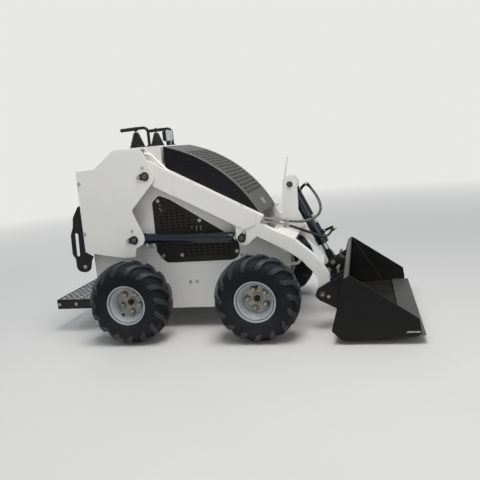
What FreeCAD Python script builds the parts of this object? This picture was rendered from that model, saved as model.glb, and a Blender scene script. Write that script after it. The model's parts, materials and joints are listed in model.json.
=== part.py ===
"""Small wheeled skid steer loader with a stand-on platform and a bucket.

Millimetres. +X is forward to the bucket, +Y is the machine's left, +Z is up, and the ground is
at Z = 0. Lengths along the machine are measured from the rear axle, which rear_axle_x places so
that the middle of the whole machine stands over the origin.
"""
import FreeCAD, Part
import math
import os
import re
import Sketcher

doc = FreeCAD.newDocument("SkidSteerLoader")

# Driving sizes: name, value
SIZES = (
    # wheels
    ("wheel_base", 768),
    ("wheel_track_half", 467.5),
    ("tyre_radius", 247.5),
    ("tyre_width", 215),
    ("lug_height", 17),
    ("lug_count", 15),
    ("lug_half_angle", 3.6),
    ("lug_sweep", 11),
    ("lug_foot_sweep", 3.5),
    ("tyre_wall", 14),
    ("bead_radius", 104),
    ("rim_lip_radius", 119),
    ("rim_width", 176),
    ("rim_wall", 4),
    ("rim_well_radius", 84),
    ("disc_depth", 88),
    ("disc_thickness", 8),
    ("hub_radius", 74),
    ("hub_thickness", 12),
    ("hub_nose_radius", 34),
    ("hub_nose_length", 34),
    ("stub_radius", 20),
    ("motor_radius", 62),
    ("running_fit", 0.05),
    # body
    ("body_half_width", 258),
    ("side_wall", 8),
    ("belly_height", 137),
    ("body_rear", -318),
    ("body_front", 875),
    ("front_foot_height", 250),
    ("belly_front", 780),
    ("nose_height", 505),
    ("grille_recess", 6),
    ("grille_sheet", 3),
    ("slot_length", 20),
    ("slot_height", 6),
    ("slot_pitch", 34.7),
    ("tow_loop_height", 418),
    ("tow_loop_drop", 88),
    ("tow_loop_reach", 92),
    ("tow_loop_radius", 9),
    # lifting arms and their pivots
    ("lift_pivot_x", 127),
    ("lift_pivot_height", 975),
    ("ram_foot_x", 9),
    ("ram_foot_height", 597),
    ("ram_eye_x", 677),
    ("ram_eye_drop", 57.24),
    ("bucket_pin_x", 1124),
    ("bucket_pin_height", 218),
    ("arm_inner", 270),
    ("arm_width", 60),
    ("arm_depth", 122),
    ("arm_slope", 29.15),
    ("pivot_pin_radius", 17.5),
    ("small_pin_radius", 15),
    ("tower_plate", 10),
    ("tower_inner", 336),
    ("lug_plate", 10),
    ("keeper_thickness", 6),
    # lift rams
    ("ram_centre", 298),
    ("ram_radius", 32),
    ("ram_rod_show", 56.5),
    ("ram_eye_width", 30),
    ("ram_eye_radius", 28),
    ("ram_rod_radius", 18),
    ("ram_bore_radius", 25),
    ("ram_stroke", 350),
    ("gland_length", 45),
    # tilt tower and tilt ram
    ("tilt_pin_x", 944),
    ("tilt_pin_height", 842),
    ("tower_half_width", 48),
    ("tower_wall", 8),
    ("tilt_eye_x", 1176),
    ("tilt_eye_height", 338),
    ("tilt_radius", 35),
    ("tilt_tube_end", 425),
    ("tilt_rod_radius", 19),
    ("tilt_bore_radius", 28),
    ("tilt_stroke", 200),
    ("tilt_eye_width", 40),
    ("knuckle_length", 87),
    ("eye_gap", 3),
    # bucket and quick attach
    ("bucket_lean", 16),
    ("bucket_tip_reach", 565),
    ("bucket_tip_rise", -15),
    ("bucket_half_width", 571),
    ("bucket_side", 8),
    ("bucket_sheet", 6),
    ("attach_face", 102),
    ("attach_plate", 14),
    ("attach_half_width", 352),
    ("attach_bottom", -58),
    ("attach_top", 143),
    # hood
    ("hood_half_width", 262),
    ("hood_sheet", 4),
    ("hood_rear", 232),
    ("deck_rise", 166),
    ("hood_front", 792),
    ("hood_front_height", 698),
    ("hood_bend_along", 0.66),
    ("hood_bend_up", 0.739),
    ("hood_bend_share", 0.9),
    ("hood_slot_length", 18),
    ("hood_slot_width", 8),
    ("hood_slot_rows", 57),
    ("hood_slot_start", 24),
    ("hood_slot_span", 28.5),
    ("hood_slot_count", 16),
    ("hinge_back", 11),
    ("hinge_drop", 14),
    ("hinge_pin_radius", 4),
    ("hinge_eye_radius", 8),
    ("hinge_offset", 150),
    ("hinge_eye_width", 40),
    # console and platform
    ("console_sheet", 5),
    ("rail_offset", 215),
    ("rail_radius", 9),
    ("boot_offset", 172),
    ("boot_x", 34),
    ("boot_radius", 48),
    ("boot_height", 92),
    ("lever_radius", 8),
    ("platform_rear", -605),
    ("platform_height", 222),
    ("platform_depth", 62),
    ("platform_half_width", 300),
    # hydraulic lines to the tilt ram
    ("line_radius", 7),
    ("hose_radius", 7.5),
    ("line_clamp_x", 905),
    ("line_clamp_width", 32),
    ("engine_length", 420),
    ("engine_width", 340),
    ("engine_height", 360),
)

# Worked-out sizes: name, formula
DERIVED = (
    ("lean_cos", "cos(bucket_lean * 1deg)"),
    ("lean_sin", "sin(bucket_lean * 1deg)"),
    ("front_reach", "bucket_pin_x + bucket_tip_reach * lean_cos + bucket_tip_rise * lean_sin"),
    ("rear_axle_x", "0 - (front_reach + platform_rear) / 2"),
    ("deck_height", "lift_pivot_height + deck_rise"),
    ("console_top", "deck_height + 7"),
    ("hood_top_height", "deck_height + 1"),
    ("hood_bend_x", "hood_rear + hood_bend_along * (hood_front - hood_rear)"),
    ("hood_bend_height", "hood_front_height + hood_bend_up * (hood_top_height - hood_front_height)"),
    ("hood_high_fall", "hood_top_height - hood_bend_height"),
    ("hood_low_fall", "hood_bend_height - hood_front_height"),
    ("hood_high_slope", "atan2(hood_high_fall; hood_bend_x - hood_rear)"),
    ("hood_low_slope", "atan2(hood_low_fall; hood_front - hood_bend_x)"),
    ("hood_low_run", "hood_low_fall / sin(hood_low_slope)"),
    ("hood_high_run", "hood_high_fall / sin(hood_high_slope)"),
    ("hood_reach", "hood_bend_share * min(hood_low_run; hood_high_run)"),
    ("hood_curve", "hood_reach / tan((hood_low_slope - hood_high_slope) / 2)"),
    ("hood_curve_x", "hood_bend_x - hood_reach * cos(hood_high_slope)"),
    ("hood_curve_height", "hood_bend_height + hood_reach * sin(hood_high_slope)"),
    ("hood_centre_x", "hood_curve_x - hood_curve * sin(hood_high_slope)"),
    ("hood_centre_height", "hood_curve_height - hood_curve * cos(hood_high_slope)"),
    ("arm_tan", "tan(arm_slope * 1deg)"),
    ("arm_cos", "cos(arm_slope * 1deg)"),
    ("arm_low_z", "lift_pivot_height - 41"),
    ("arm_high_z", "arm_low_z + arm_depth / arm_cos"),
    ("arm_outer", "arm_inner + arm_width"),
    ("tower_outer", "tower_inner + tower_plate"),
    ("ram_run", "ram_eye_x - ram_foot_x"),
    ("ram_eye_height", "arm_low_z - (ram_eye_x - lift_pivot_x) * arm_tan - ram_eye_drop"),
    ("ram_drop", "ram_foot_height - ram_eye_height"),
    ("ram_length", "sqrt(ram_run * ram_run + ram_drop * ram_drop)"),
    ("ram_angle", "atan2(ram_drop; ram_run)"),
    ("ram_stub_start", "ram_centre + ram_eye_width / 2 + eye_gap"),
    ("ram_tube_start", "ram_eye_radius + 8"),
    ("ram_tube_end", "ram_length - ram_rod_show"),
    ("tilt_run", "tilt_eye_x - tilt_pin_x"),
    ("tilt_drop", "tilt_pin_height - tilt_eye_height"),
    ("tilt_length", "sqrt(tilt_run * tilt_run + tilt_drop * tilt_drop)"),
    ("tilt_angle", "atan2(tilt_drop; tilt_run)"),
    ("lever_run", "tilt_eye_x - bucket_pin_x"),
    ("lever_rise", "tilt_eye_height - bucket_pin_height"),
    ("lever_n", "lever_run * lean_cos - lever_rise * lean_sin"),
    ("lever_u", "lever_run * lean_sin + lever_rise * lean_cos"),
    ("hub_face", "disc_depth - rim_width / 2"),
    ("console_front", "hood_rear - 2 * hinge_back"),
    ("hood_hinge_x", "hood_rear - hinge_back"),
    ("hood_hinge_height", "hood_top_height - hinge_drop"),
    ("hub_back", "hub_face + disc_thickness + hub_thickness"),
    ("motor_face", "hub_back + 6 - wheel_track_half"),
    ("motor_stub_length", "disc_thickness + hub_thickness + hub_nose_length"),
)

AXIS_Y = FreeCAD.Vector(0, 1, 0)
AXIS_X = FreeCAD.Vector(1, 0, 0)
FLAT = FreeCAD.Rotation()
ACROSS = FreeCAD.Rotation(AXIS_X, 90)


def fill_sheet():
    """Write the driving and worked-out sizes to the sheet, one row each."""
    sheet = doc.addObject("Spreadsheet::Sheet", "Sizes")
    rows = [(name, str(value)) for name, value in SIZES]
    rows += [(name, "=" + formula) for name, formula in DERIVED]
    for number, (name, content) in enumerate(rows, start=1):
        sheet.set(f"A{number}", name)
        sheet.set(f"B{number}", content)
        sheet.setAlias(f"B{number}", name)
    doc.recompute()
    return {name for name, _ in rows}


NAMES = fill_sheet()


def bound(text):
    """Point every size name in a formula at the sheet."""
    return re.sub(r"[a-z]\w*", lambda word: "Sizes." + word.group() if word.group() in NAMES
                  else word.group(), str(text))


def place(item, along="rear_axle_x", across="0", height="0", pitch=None, turn=FLAT):
    """Bind an object's place, and its pitch about Y where it has one."""
    item.Placement = FreeCAD.Placement(FreeCAD.Vector(), FreeCAD.Rotation(AXIS_Y, 1) if pitch else turn)
    for axis, text in zip("xyz", (along, across, height)):
        item.setExpression("Placement.Base." + axis, bound(text))
    if pitch:
        item.setExpression("Placement.Rotation.Angle", bound(pitch))
    return item


def new_body(label, **where):
    """A body with its own name and place."""
    body = doc.addObject("PartDesign::Body", label)
    body.Label = label
    return place(body, **where)


def new_sketch(body, plane="XZ_Plane", offset="0"):
    """A sketch on one of the body's own planes, moved along the plane's normal."""
    sketch = body.newObject("Sketcher::SketchObject", body.Label + "_sketch")
    support = [item for item in body.Origin.OriginFeatures if item.Role == plane][0]
    sketch.AttachmentSupport = [(support, "")]
    sketch.MapMode = "FlatFace"
    sketch.setExpression("AttachmentOffset.Base.z", bound(offset))
    return sketch


def pin_point(sketch, edge, end, first, second):
    """Fix one point of a sketch edge to the sheet's sizes."""
    for kind, text in (("DistanceX", first), ("DistanceY", second)):
        number = sketch.addConstraint(Sketcher.Constraint(kind, -1, 1, edge, end, 1.0))
        sketch.setExpression(f"Constraints[{number}]", bound(text))


def draw_loop(sketch, corners):
    """Draw a closed outline through corners given as (first, second, ...)."""
    start = sketch.GeometryCount
    count = len(corners)
    turn = FreeCAD.Rotation(FreeCAD.Vector(0, 0, 1), 360 / count)
    spots = [FreeCAD.Vector(100, 0, 0)]
    for _ in range(count):
        spots.append(turn.multVec(spots[-1]))
    for number in range(count):
        sketch.addGeometry(Part.LineSegment(spots[number], spots[number + 1]), False)
    for number in range(count):
        after = (number + 1) % count
        sketch.addConstraint(Sketcher.Constraint("Coincident", start + number, 2, start + after, 1))
        pin_point(sketch, start + number, 1, corners[number][0], corners[number][1])


def draw_circle(sketch, first, second, radius):
    """Draw a circle fixed to the sheet's sizes."""
    edge = sketch.addGeometry(Part.Circle(FreeCAD.Vector(), FreeCAD.Vector(0, 0, 1), 10), False)
    pin_point(sketch, edge, 3, first, second)
    number = sketch.addConstraint(Sketcher.Constraint("Radius", edge, 10))
    sketch.setExpression(f"Constraints[{number}]", bound(radius))


def pad(body, sketch, length):
    """Add material along the sketch's normal."""
    feature = body.newObject("PartDesign::Pad", body.Label + "_pad")
    feature.Profile = sketch
    feature.setExpression("Length", bound(length))
    return feature


def pocket(body, sketch, length):
    """Cut along the sketch's normal, from its plane on the side that a pad would fill."""
    feature = body.newObject("PartDesign::Pocket", body.Label + "_pocket")
    feature.Profile = sketch
    feature.Reversed = True
    feature.setExpression("Length", bound(length))
    return feature


def round_corners(body, sketch, corners):
    """Fillet the edges that stand on the corners with a radius in their third column."""
    doc.recompute()
    for radius in dict.fromkeys(corner[2] for corner in corners if len(corner) > 2):
        base = body.Tip
        normal = sketch.Placement.Rotation.multVec(FreeCAD.Vector(0, 0, 1))
        marks = [sketch.Placement.multVec(sketch.Geometry[number].StartPoint)
                 for number, corner in enumerate(corners) if len(corner) > 2 and corner[2] == radius]
        names = []
        for number, edge in enumerate(base.Shape.Edges, start=1):
            straight = edge.Curve.TypeId == "Part::GeomLine"
            if not straight or edge.tangentAt(edge.FirstParameter).cross(normal).Length > 1e-6:
                continue
            middle = edge.CenterOfMass
            if any((middle - mark).cross(normal).Length < 1e-4 for mark in marks):
                names.append(f"Edge{number}")
        feature = body.newObject("PartDesign::Fillet", body.Label + "_round")
        feature.Base = (base, names)
        feature.setExpression("Radius", bound(radius))
        body.Tip = feature
        doc.recompute()


def plate(label, corners, inner, thickness, holes=(), **where):
    """A flat piece across Y: its outline in (x, z), from inner to inner + thickness on the right."""
    body = new_body(label, **where)
    sketch = new_sketch(body, offset=inner)
    draw_loop(sketch, corners)
    for hole in holes:
        draw_circle(sketch, *hole)
    pad(body, sketch, thickness)
    round_corners(body, sketch, corners)
    return body


def turned(label, corners, **where):
    """A body turned about its own Y axis, from corners given as (radius, across)."""
    body = new_body(label, **where)
    sketch = new_sketch(body, plane="XY_Plane")
    draw_loop(sketch, corners)
    feature = body.newObject("PartDesign::Revolution", body.Label + "_turn")
    feature.Profile = sketch
    feature.ReferenceAxis = (sketch, ["V_Axis"])
    feature.Refine = False
    return body


def mirrored(item):
    """The same piece on the machine's left side."""
    copy = doc.addObject("Part::Mirroring", item.Label + "_left")
    copy.Source = item
    copy.Base = FreeCAD.Vector()
    copy.Normal = AXIS_Y
    return copy


def combined(label, items, kind="Part::Compound"):
    """Several pieces under one name: loose in a compound, or joined in a fusion."""
    group = doc.addObject(kind, label)
    group.Label = label
    if kind == "Part::Compound":
        group.Links = items
    else:
        group.Shapes = items
        group.Refine = False
    return group


def both_sides(label, item):
    """A piece and its mirror image under one name."""
    return combined(label, [item, mirrored(item)])


def rod(label, radius, length, across, **where):
    """A round bar along Y that starts at across and runs to the right, away from the middle."""
    item = doc.addObject("Part::Cylinder", label)
    item.Label = label
    item.setExpression("Radius", bound(radius))
    item.setExpression("Height", bound(length))
    return place(item, across=f"0 - ({across})", turn=ACROSS, **where)


def axis_along(**where):
    """Where a piece lies whose x is measured from the rear axle."""
    return {"along": "rear_axle_x + " + where.pop("x"), **where}


def subtract(label, base, tool):
    """One piece with another cut out of it."""
    item = doc.addObject("Part::Cut", label)
    item.Label = label
    item.Base = base
    item.Tool = tool
    return item


# Side grille's outline: along, height, corner radius
GRILLE_OUTLINE = (
    ("117", "810", "30"),
    ("165", "850", "25"),
    ("235", "820", "25"),
    ("640", "548", "20"),
    ("643", "440", "60"),
    ("580", "428"),
    ("165", "428", "50"),
    ("112", "500"),
)

# Rows of slots in the side grille: along, height, number of slots
GRILLE_SLOTS = (
    (234, 755, 2),
    (199, 736, 3),
    (164, 717, 5),
    (164, 698, 6),
    (164, 678, 6),
    (164, 659, 7),
    (164, 640, 8),
    (298, 527, 9),
    (298, 508, 9),
    (298, 489, 9),
    (298, 470, 9),
)


def make_frame():
    """Welded body: two side walls that rise into the tower, belly, front and rear."""
    outline = (
        ("body_rear", "belly_height", "20"),
        ("belly_front", "belly_height", "40"),
        ("body_front", "front_foot_height", "30"),
        ("body_front", "nose_height", "15"),
        ("body_front - 28", "nose_height + 55"),
        ("hood_front + 1", "hood_front_height - 8"),
        ("hood_rear - 4", "lift_pivot_height - 7"),
        ("lift_pivot_x + 63", "lift_pivot_height + 35"),
        ("lift_pivot_x + 7", "deck_height - 37"),
        ("lift_pivot_x - 14", "deck_height - 1"),
        ("lift_pivot_x - 186", "deck_height"),
        ("body_rear + 124", "deck_height - 100"),
        ("body_rear", "deck_height - 104"),
    )
    body = new_body("chassis_frame")
    sketch = new_sketch(body, offset="0 - body_half_width")
    draw_loop(sketch, outline)
    pad(body, sketch, "2 * body_half_width")
    round_corners(body, sketch, outline)
    inside = new_sketch(body, offset="side_wall - body_half_width")
    draw_loop(inside, (
        ("body_rear + side_wall", "belly_height + side_wall"),
        ("belly_front - 10", "belly_height + side_wall"),
        ("body_front - side_wall", "front_foot_height + 10"),
        ("body_front - side_wall", "nose_height - 5"),
        ("body_front - 28 - side_wall", "nose_height + 53"),
        ("hood_front - 16", "deck_height + 160"),
        ("body_rear + side_wall", "deck_height + 160"),
    ))
    pocket(body, inside, "2 * (body_half_width - side_wall)")
    for offset in ("body_half_width - grille_recess", "0 - body_half_width - 1"):
        recess = new_sketch(body, offset=offset)
        draw_loop(recess, GRILLE_OUTLINE)
        pocket(body, recess, "grille_recess + 1")
    round_corners(body, recess, GRILLE_OUTLINE)
    pins = new_sketch(body, offset="0 - body_half_width - 1")
    draw_circle(pins, "lift_pivot_x", "lift_pivot_height", "pivot_pin_radius")
    draw_circle(pins, "ram_foot_x", "ram_foot_height", "small_pin_radius")
    pocket(body, pins, "2 * body_half_width + 2")
    return body


def make_towers():
    """Outer tower plates, closed at the rear and top by a folded strip."""
    outline = (
        ("body_rear - 7", "ram_foot_height - 60", "10"),
        ("ram_foot_x - 82", "ram_foot_height - 109", "150"),
        ("ram_foot_x - 5", "ram_foot_height - 104", "10"),
        ("ram_foot_x + 7", "ram_foot_height - 52", "8"),
        ("ram_foot_x + 79", "ram_foot_height - 17", "45"),
        ("ram_foot_x + 5", "ram_foot_height + 179", "30"),
        ("lift_pivot_x + 68", "lift_pivot_height - 18", "56"),
        ("lift_pivot_x + 7", "deck_height - 37"),
        ("lift_pivot_x - 14", "deck_height - 1"),
        ("lift_pivot_x - 186", "deck_height"),
        ("body_rear + 124", "deck_height - 100"),
        ("body_rear + 2", "deck_height - 104"),
    )
    holes = (
        ("lift_pivot_x", "lift_pivot_height", "pivot_pin_radius"),
        ("ram_foot_x", "ram_foot_height", "small_pin_radius"),
    )
    panel = plate("tower_panel", outline, "tower_inner", "tower_plate", holes)
    strip = plate("tower_strip", (
        ("body_rear - 7", "ram_foot_height - 60"),
        ("body_rear + 1", "ram_foot_height - 60"),
        ("body_rear + 9", "deck_height - 112"),
        ("body_rear + 126", "deck_height - 108"),
        ("lift_pivot_x - 184", "deck_height - 8"),
        ("lift_pivot_x - 19", "deck_height - 9"),
        ("lift_pivot_x - 14", "deck_height - 1"),
        ("lift_pivot_x - 186", "deck_height"),
        ("body_rear + 124", "deck_height - 100"),
        ("body_rear + 2", "deck_height - 104"),
    ), "body_half_width", "tower_inner - body_half_width")
    tower = combined("tower", [panel, strip], "Part::MultiFuse")
    return both_sides("tower_plates", tower)


def make_grille():
    """Slotted black side panels, set into the recesses of the body's sides."""
    panel = plate("grille_panel", GRILLE_OUTLINE, "body_half_width - grille_recess", "grille_sheet")
    body = new_body("grille_slots")
    for along, height, count in GRILLE_SLOTS:
        sketch = new_sketch(body, offset="body_half_width - grille_recess - 1")
        draw_loop(sketch, (
            (f"{along} - slot_length / 2", f"{height} - slot_height / 2"),
            (f"{along} + slot_length / 2", f"{height} - slot_height / 2"),
            (f"{along} + slot_length / 2", f"{height} + slot_height / 2"),
            (f"{along} - slot_length / 2", f"{height} + slot_height / 2"),
        ))
        slot = pad(body, sketch, "grille_sheet + 2")
        pattern = body.newObject("PartDesign::LinearPattern", "grille_slot_row")
        pattern.Originals = [slot]
        pattern.Direction = (sketch, ["H_Axis"])
        pattern.setExpression("Length", bound(f"slot_pitch * {count - 1}"))
        pattern.Occurrences = count
        body.Tip = pattern
    return both_sides("side_grilles", subtract("side_grille", panel, body))


def make_tower_pins():
    """Pivot pins through tower and body, each with its keeper plate outside."""
    table = (
        # name, x, height, radius, length inside the tower plate
        ("lift", "lift_pivot_x", "lift_pivot_height", "pivot_pin_radius"),
        ("ram", "ram_foot_x", "ram_foot_height", "small_pin_radius"),
    )
    pieces = []
    for name, x, height, radius in table:
        pin = rod(f"{name}_pin", radius, "tower_outer - body_half_width + side_wall",
                  "body_half_width - side_wall", **axis_along(x=x, height=height))
        keeper = plate(f"{name}_keeper", (
            (f"{x} - 42", f"{height} - 8", "6"),
            (f"{x} + 4", f"{height} - 26", "20"),
            (f"{x} + 28", f"{height}", "20"),
            (f"{x} + 4", f"{height} + 26", "20"),
            (f"{x} - 42", f"{height} + 8", "6"),
        ), "tower_outer", "keeper_thickness")
        joined = combined(f"{name}_pin_set", [pin, keeper], "Part::MultiFuse")
        pieces += [joined, mirrored(joined)]
    return combined("tower_pins", pieces)


def make_console():
    """Control console between the tower's side walls, open below."""
    outer = (
        ("-62", "deck_height - 141"),
        ("hood_rear + 8", "deck_height - 141"),
        ("console_front", "deck_height - 101"),
        ("console_front", "console_top", "12"),
        ("-62", "console_top", "12"),
    )
    body = new_body("console")
    sketch = new_sketch(body, offset="side_wall - body_half_width + 0.5")
    draw_loop(sketch, outer)
    pad(body, sketch, "2 * (body_half_width - side_wall) - 1")
    round_corners(body, sketch, outer)
    inside = new_sketch(body, offset="side_wall - body_half_width + 0.5 + console_sheet")
    draw_loop(inside, (
        ("-62 + console_sheet", "deck_height - 151"),
        ("hood_rear + 8 - console_sheet", "deck_height - 151"),
        ("console_front - console_sheet", "deck_height - 103"),
        ("console_front - console_sheet", "console_top - console_sheet"),
        ("-62 + console_sheet", "console_top - console_sheet"),
    ))
    pocket(body, inside, "2 * (body_half_width - side_wall - console_sheet) - 1")
    return body


def make_controls():
    """Rubber boots with their levers, on the console's top."""
    boots = []
    levers = []
    for side, sign in (("right", "0 - "), ("left", "")):
        boot = doc.addObject("Part::Cone", f"boot_{side}")
        boot.setExpression("Radius1", bound("boot_radius"))
        boot.Radius2 = 14
        boot.setExpression("Height", bound("boot_height"))
        place(boot, across=sign + "boot_offset", **axis_along(x="boot_x", height="console_top"))
        boots.append(boot)
        lever = doc.addObject("Part::Cylinder", f"lever_{side}")
        lever.setExpression("Radius", bound("lever_radius"))
        lever.Height = 34
        place(lever, across=sign + "boot_offset",
              **axis_along(x="boot_x", height="console_top + boot_height"))
        levers.append(lever)
    return [combined("lever_boots", boots), combined("control_levers", levers)]


def tube_along(label, radius, points, bend=30.0):
    """A bent bar through points in millimetres, with equal tangent arcs at its turns."""
    item = doc.addObject("Part::Feature", label)
    item.Label = label
    item.Shape = bent_tube(radius, [FreeCAD.Vector(*point) for point in points], [bend] * (len(points) - 2))
    return item


def bent_tube(radius, spots, bends):
    """Sweep a circle along straight runs joined by tangent arcs, one bend radius for each turn."""
    edges = []
    start = spots[0]
    for before, corner, after, bend in zip(spots, spots[1:], spots[2:], bends):
        into = (corner - before).normalize()
        out = (after - corner).normalize()
        half = into.getAngle(out) / 2
        reach = bend * math.tan(half)
        enter = corner - into * reach
        leave = corner + out * reach
        middle_way = (out - into).normalize()
        centre = corner + middle_way * (bend / math.cos(half))
        middle = centre - middle_way * bend
        edges.append(Part.LineSegment(start, enter).toShape())
        edges.append(Part.Arc(enter, middle, leave).toShape())
        start = leave
    edges.append(Part.LineSegment(start, spots[-1]).toShape())
    path = Part.Wire(edges)
    ring = Part.Wire(Part.makeCircle(radius, spots[0], spots[1] - spots[0]))
    return path.makePipeShell([ring], True, False)


def size(name):
    """A size read back from the sheet as a plain number."""
    value = doc.Sizes.get(name)
    return float(getattr(value, "Value", value))


def make_handrails():
    """One bent bar at each side of the console's top."""
    foot = size("rear_axle_x") + size("boot_x") + 96
    across = -size("rail_offset")
    top = size("console_top")
    points = (
        (foot, across, top),
        (foot, across, top + 116),
        (foot - 175, across, top + 112),
    )
    rail = tube_along("handrail", size("rail_radius"), points)
    return both_sides("handrails", rail)


def make_lamp():
    """Work lamp on a short bracket at the console's front edge."""
    housing = doc.addObject("Part::Box", "lamp_housing")
    housing.Length, housing.Width, housing.Height = 46, 84, 70
    place(housing, across="-42", **axis_along(x="hood_rear - 78", height="console_top + 26"))
    bracket = doc.addObject("Part::Box", "lamp_bracket")
    bracket.Length, bracket.Width, bracket.Height = 18, 40, 26
    place(bracket, across="-20", **axis_along(x="hood_rear - 64", height="console_top"))
    return combined("work_lamp", [housing, bracket], "Part::MultiFuse")


def make_platform():
    """Operator's platform behind the body: a frame of side bars and its tread plate."""
    body = new_body("platform_frame", across="0", height="platform_height - platform_depth")
    sketch = new_sketch(body, plane="XY_Plane")
    draw_loop(sketch, (
        ("platform_rear", "0 - platform_half_width"),
        ("body_rear", "0 - platform_half_width"),
        ("body_rear", "platform_half_width"),
        ("platform_rear", "platform_half_width"),
    ))
    draw_loop(sketch, (
        ("platform_rear + 8", "8 - platform_half_width"),
        ("body_rear - 8", "8 - platform_half_width"),
        ("body_rear - 8", "platform_half_width - 8"),
        ("platform_rear + 8", "platform_half_width - 8"),
    ))
    pad(body, sketch, "platform_depth - 4")
    tread = doc.addObject("Part::Box", "platform_tread")
    tread.setExpression("Length", bound("body_rear - platform_rear"))
    tread.setExpression("Width", bound("2 * platform_half_width"))
    tread.Height = 4
    place(tread, across="0 - platform_half_width",
          **axis_along(x="platform_rear", height="platform_height - 4"))
    return [body, tread]


def make_rear_brackets():
    """Slotted black plates at the tower's rear corners."""
    outline = (
        ("-320", "ram_foot_height + 233"),
        ("-342", "ram_foot_height + 227", "12"),
        ("-385", "ram_foot_height + 160", "20"),
        ("-395", "ram_foot_height + 99"),
        ("-416", "ram_foot_height + 52", "20"),
        ("-422", "ram_foot_height - 70", "10"),
        ("-403", "ram_foot_height - 102"),
        ("-407", "ram_foot_height - 182", "38"),
        ("-318", "ram_foot_height - 192", "38"),
        ("-300", "ram_foot_height - 117"),
        ("-284", "ram_foot_height - 92"),
        ("-325.3", "ram_foot_height - 67"),
    )
    bracket = plate("rear_bracket", outline, "tower_inner - 12", "12")
    slot = plate("rear_bracket_slot", (
        ("-390", "ram_foot_height + 63", "12"),
        ("-364", "ram_foot_height + 63", "12"),
        ("-372", "ram_foot_height - 86", "12"),
        ("-398", "ram_foot_height - 86", "12"),
    ), "tower_inner - 20", "40")
    return both_sides("rear_brackets", subtract("rear_bracket_cut", bracket, slot))


def make_engine():
    """The engine as one plain block on the belly."""
    block = doc.addObject("Part::Box", "engine_block")
    block.setExpression("Length", bound("engine_length"))
    block.setExpression("Width", bound("engine_width"))
    block.setExpression("Height", bound("engine_height"))
    return place(block, across="0 - engine_width / 2",
                 **axis_along(x="260", height="belly_height + side_wall"))


def make_tow_loop():
    """U-shaped towing bar welded to the body's front."""
    front = size("rear_axle_x") + size("body_front")
    nose = front + size("tow_loop_reach")
    top = size("tow_loop_height")
    bottom = top - size("tow_loop_drop")
    points = ((front, 0, top), (nose, 0, top), (nose, 0, bottom), (front, 0, bottom))
    return tube_along("tow_loop", size("tow_loop_radius"), points)


def make_wheel_motors():
    """Hydraulic wheel motors with their mounting flanges and output stubs."""
    form = turned("wheel_motor", (
        ("0", "0 - body_half_width"),
        ("motor_radius + 20", "0 - body_half_width"),
        ("motor_radius + 20", "0 - body_half_width - 14"),
        ("motor_radius", "0 - body_half_width - 14"),
        ("motor_radius", "motor_face"),
        ("stub_radius", "motor_face"),
        ("stub_radius", "motor_face - motor_stub_length"),
        ("0", "motor_face - motor_stub_length"),
    ), height="tyre_radius")
    front = combined("wheel_motor_front", [form])
    front.setExpression("Placement.Base.x", bound("wheel_base"))
    return combined("wheel_motors", [form, mirrored(form), front, mirrored(front)])


def make_wheel_forms():
    """One right-hand wheel about its own centre: tyre with lugs, rim and hub."""
    tyre = make_tyre()
    rim = turned("rim_form", (
        ("rim_lip_radius", "0 - rim_width / 2 - 3"),
        ("rim_lip_radius", "0 - rim_width / 2"),
        ("bead_radius", "0 - rim_width / 2"),
        ("bead_radius", "18 - rim_width / 2"),
        ("rim_well_radius + rim_wall", "34 - rim_width / 2"),
        ("rim_well_radius + rim_wall", "rim_width / 2 - 34"),
        ("bead_radius", "rim_width / 2 - 18"),
        ("bead_radius", "rim_width / 2"),
        ("rim_lip_radius", "rim_width / 2"),
        ("rim_lip_radius", "rim_width / 2 + 3"),
        ("bead_radius - rim_wall", "rim_width / 2 + 3"),
        ("bead_radius - rim_wall", "rim_width / 2 - 18 + 0.4 * rim_wall"),
        ("rim_well_radius", "rim_width / 2 - 34 + 0.4 * rim_wall"),
        ("rim_well_radius", "hub_face + disc_thickness"),
        ("hub_nose_radius + 1", "hub_face + disc_thickness"),
        ("hub_nose_radius + 1", "hub_face"),
        ("rim_well_radius", "hub_face"),
        ("rim_well_radius", "34 - 0.4 * rim_wall - rim_width / 2"),
        ("bead_radius - rim_wall", "18 - 0.4 * rim_wall - rim_width / 2"),
        ("bead_radius - rim_wall", "0 - rim_width / 2 - 3"),
    ), along="0")
    hub = turned("hub_form", (
        ("stub_radius + running_fit", "hub_face - hub_nose_length"),
        ("hub_nose_radius", "hub_face - hub_nose_length"),
        ("hub_nose_radius", "hub_face + disc_thickness"),
        ("hub_radius", "hub_face + disc_thickness"),
        ("hub_radius", "hub_back"),
        ("stub_radius + running_fit", "hub_back"),
    ), along="0")
    return (("tyre", tyre), ("rim", rim), ("hub", hub))


def spot(radius, across, degrees):
    """A point about the wheel's axis, with the angle measured forward from the top."""
    angle = math.radians(degrees)
    return FreeCAD.Vector(radius * math.sin(angle), across, radius * math.cos(angle))


def strip_faces(first, second):
    """Two triangles for each step along a pair of point rows."""
    faces = []
    for near, after, far, beyond in zip(first, first[1:], second, second[1:]):
        for corners in ((near, after, far), (after, beyond, far)):
            faces.append(Part.Face(Part.makePolygon([*corners, corners[0]])))
    return faces


def lug_row(sweep, spread, across, radius, phase):
    """Points around one row of a tyre's half, two for each lug, closed by the first again."""
    points = []
    for number in range(int(size("lug_count"))):
        middle = number * 360 / size("lug_count") + phase - sweep
        points += [spot(radius, across, middle - spread), spot(radius, across, middle + spread)]
    return points + points[:1]


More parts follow.
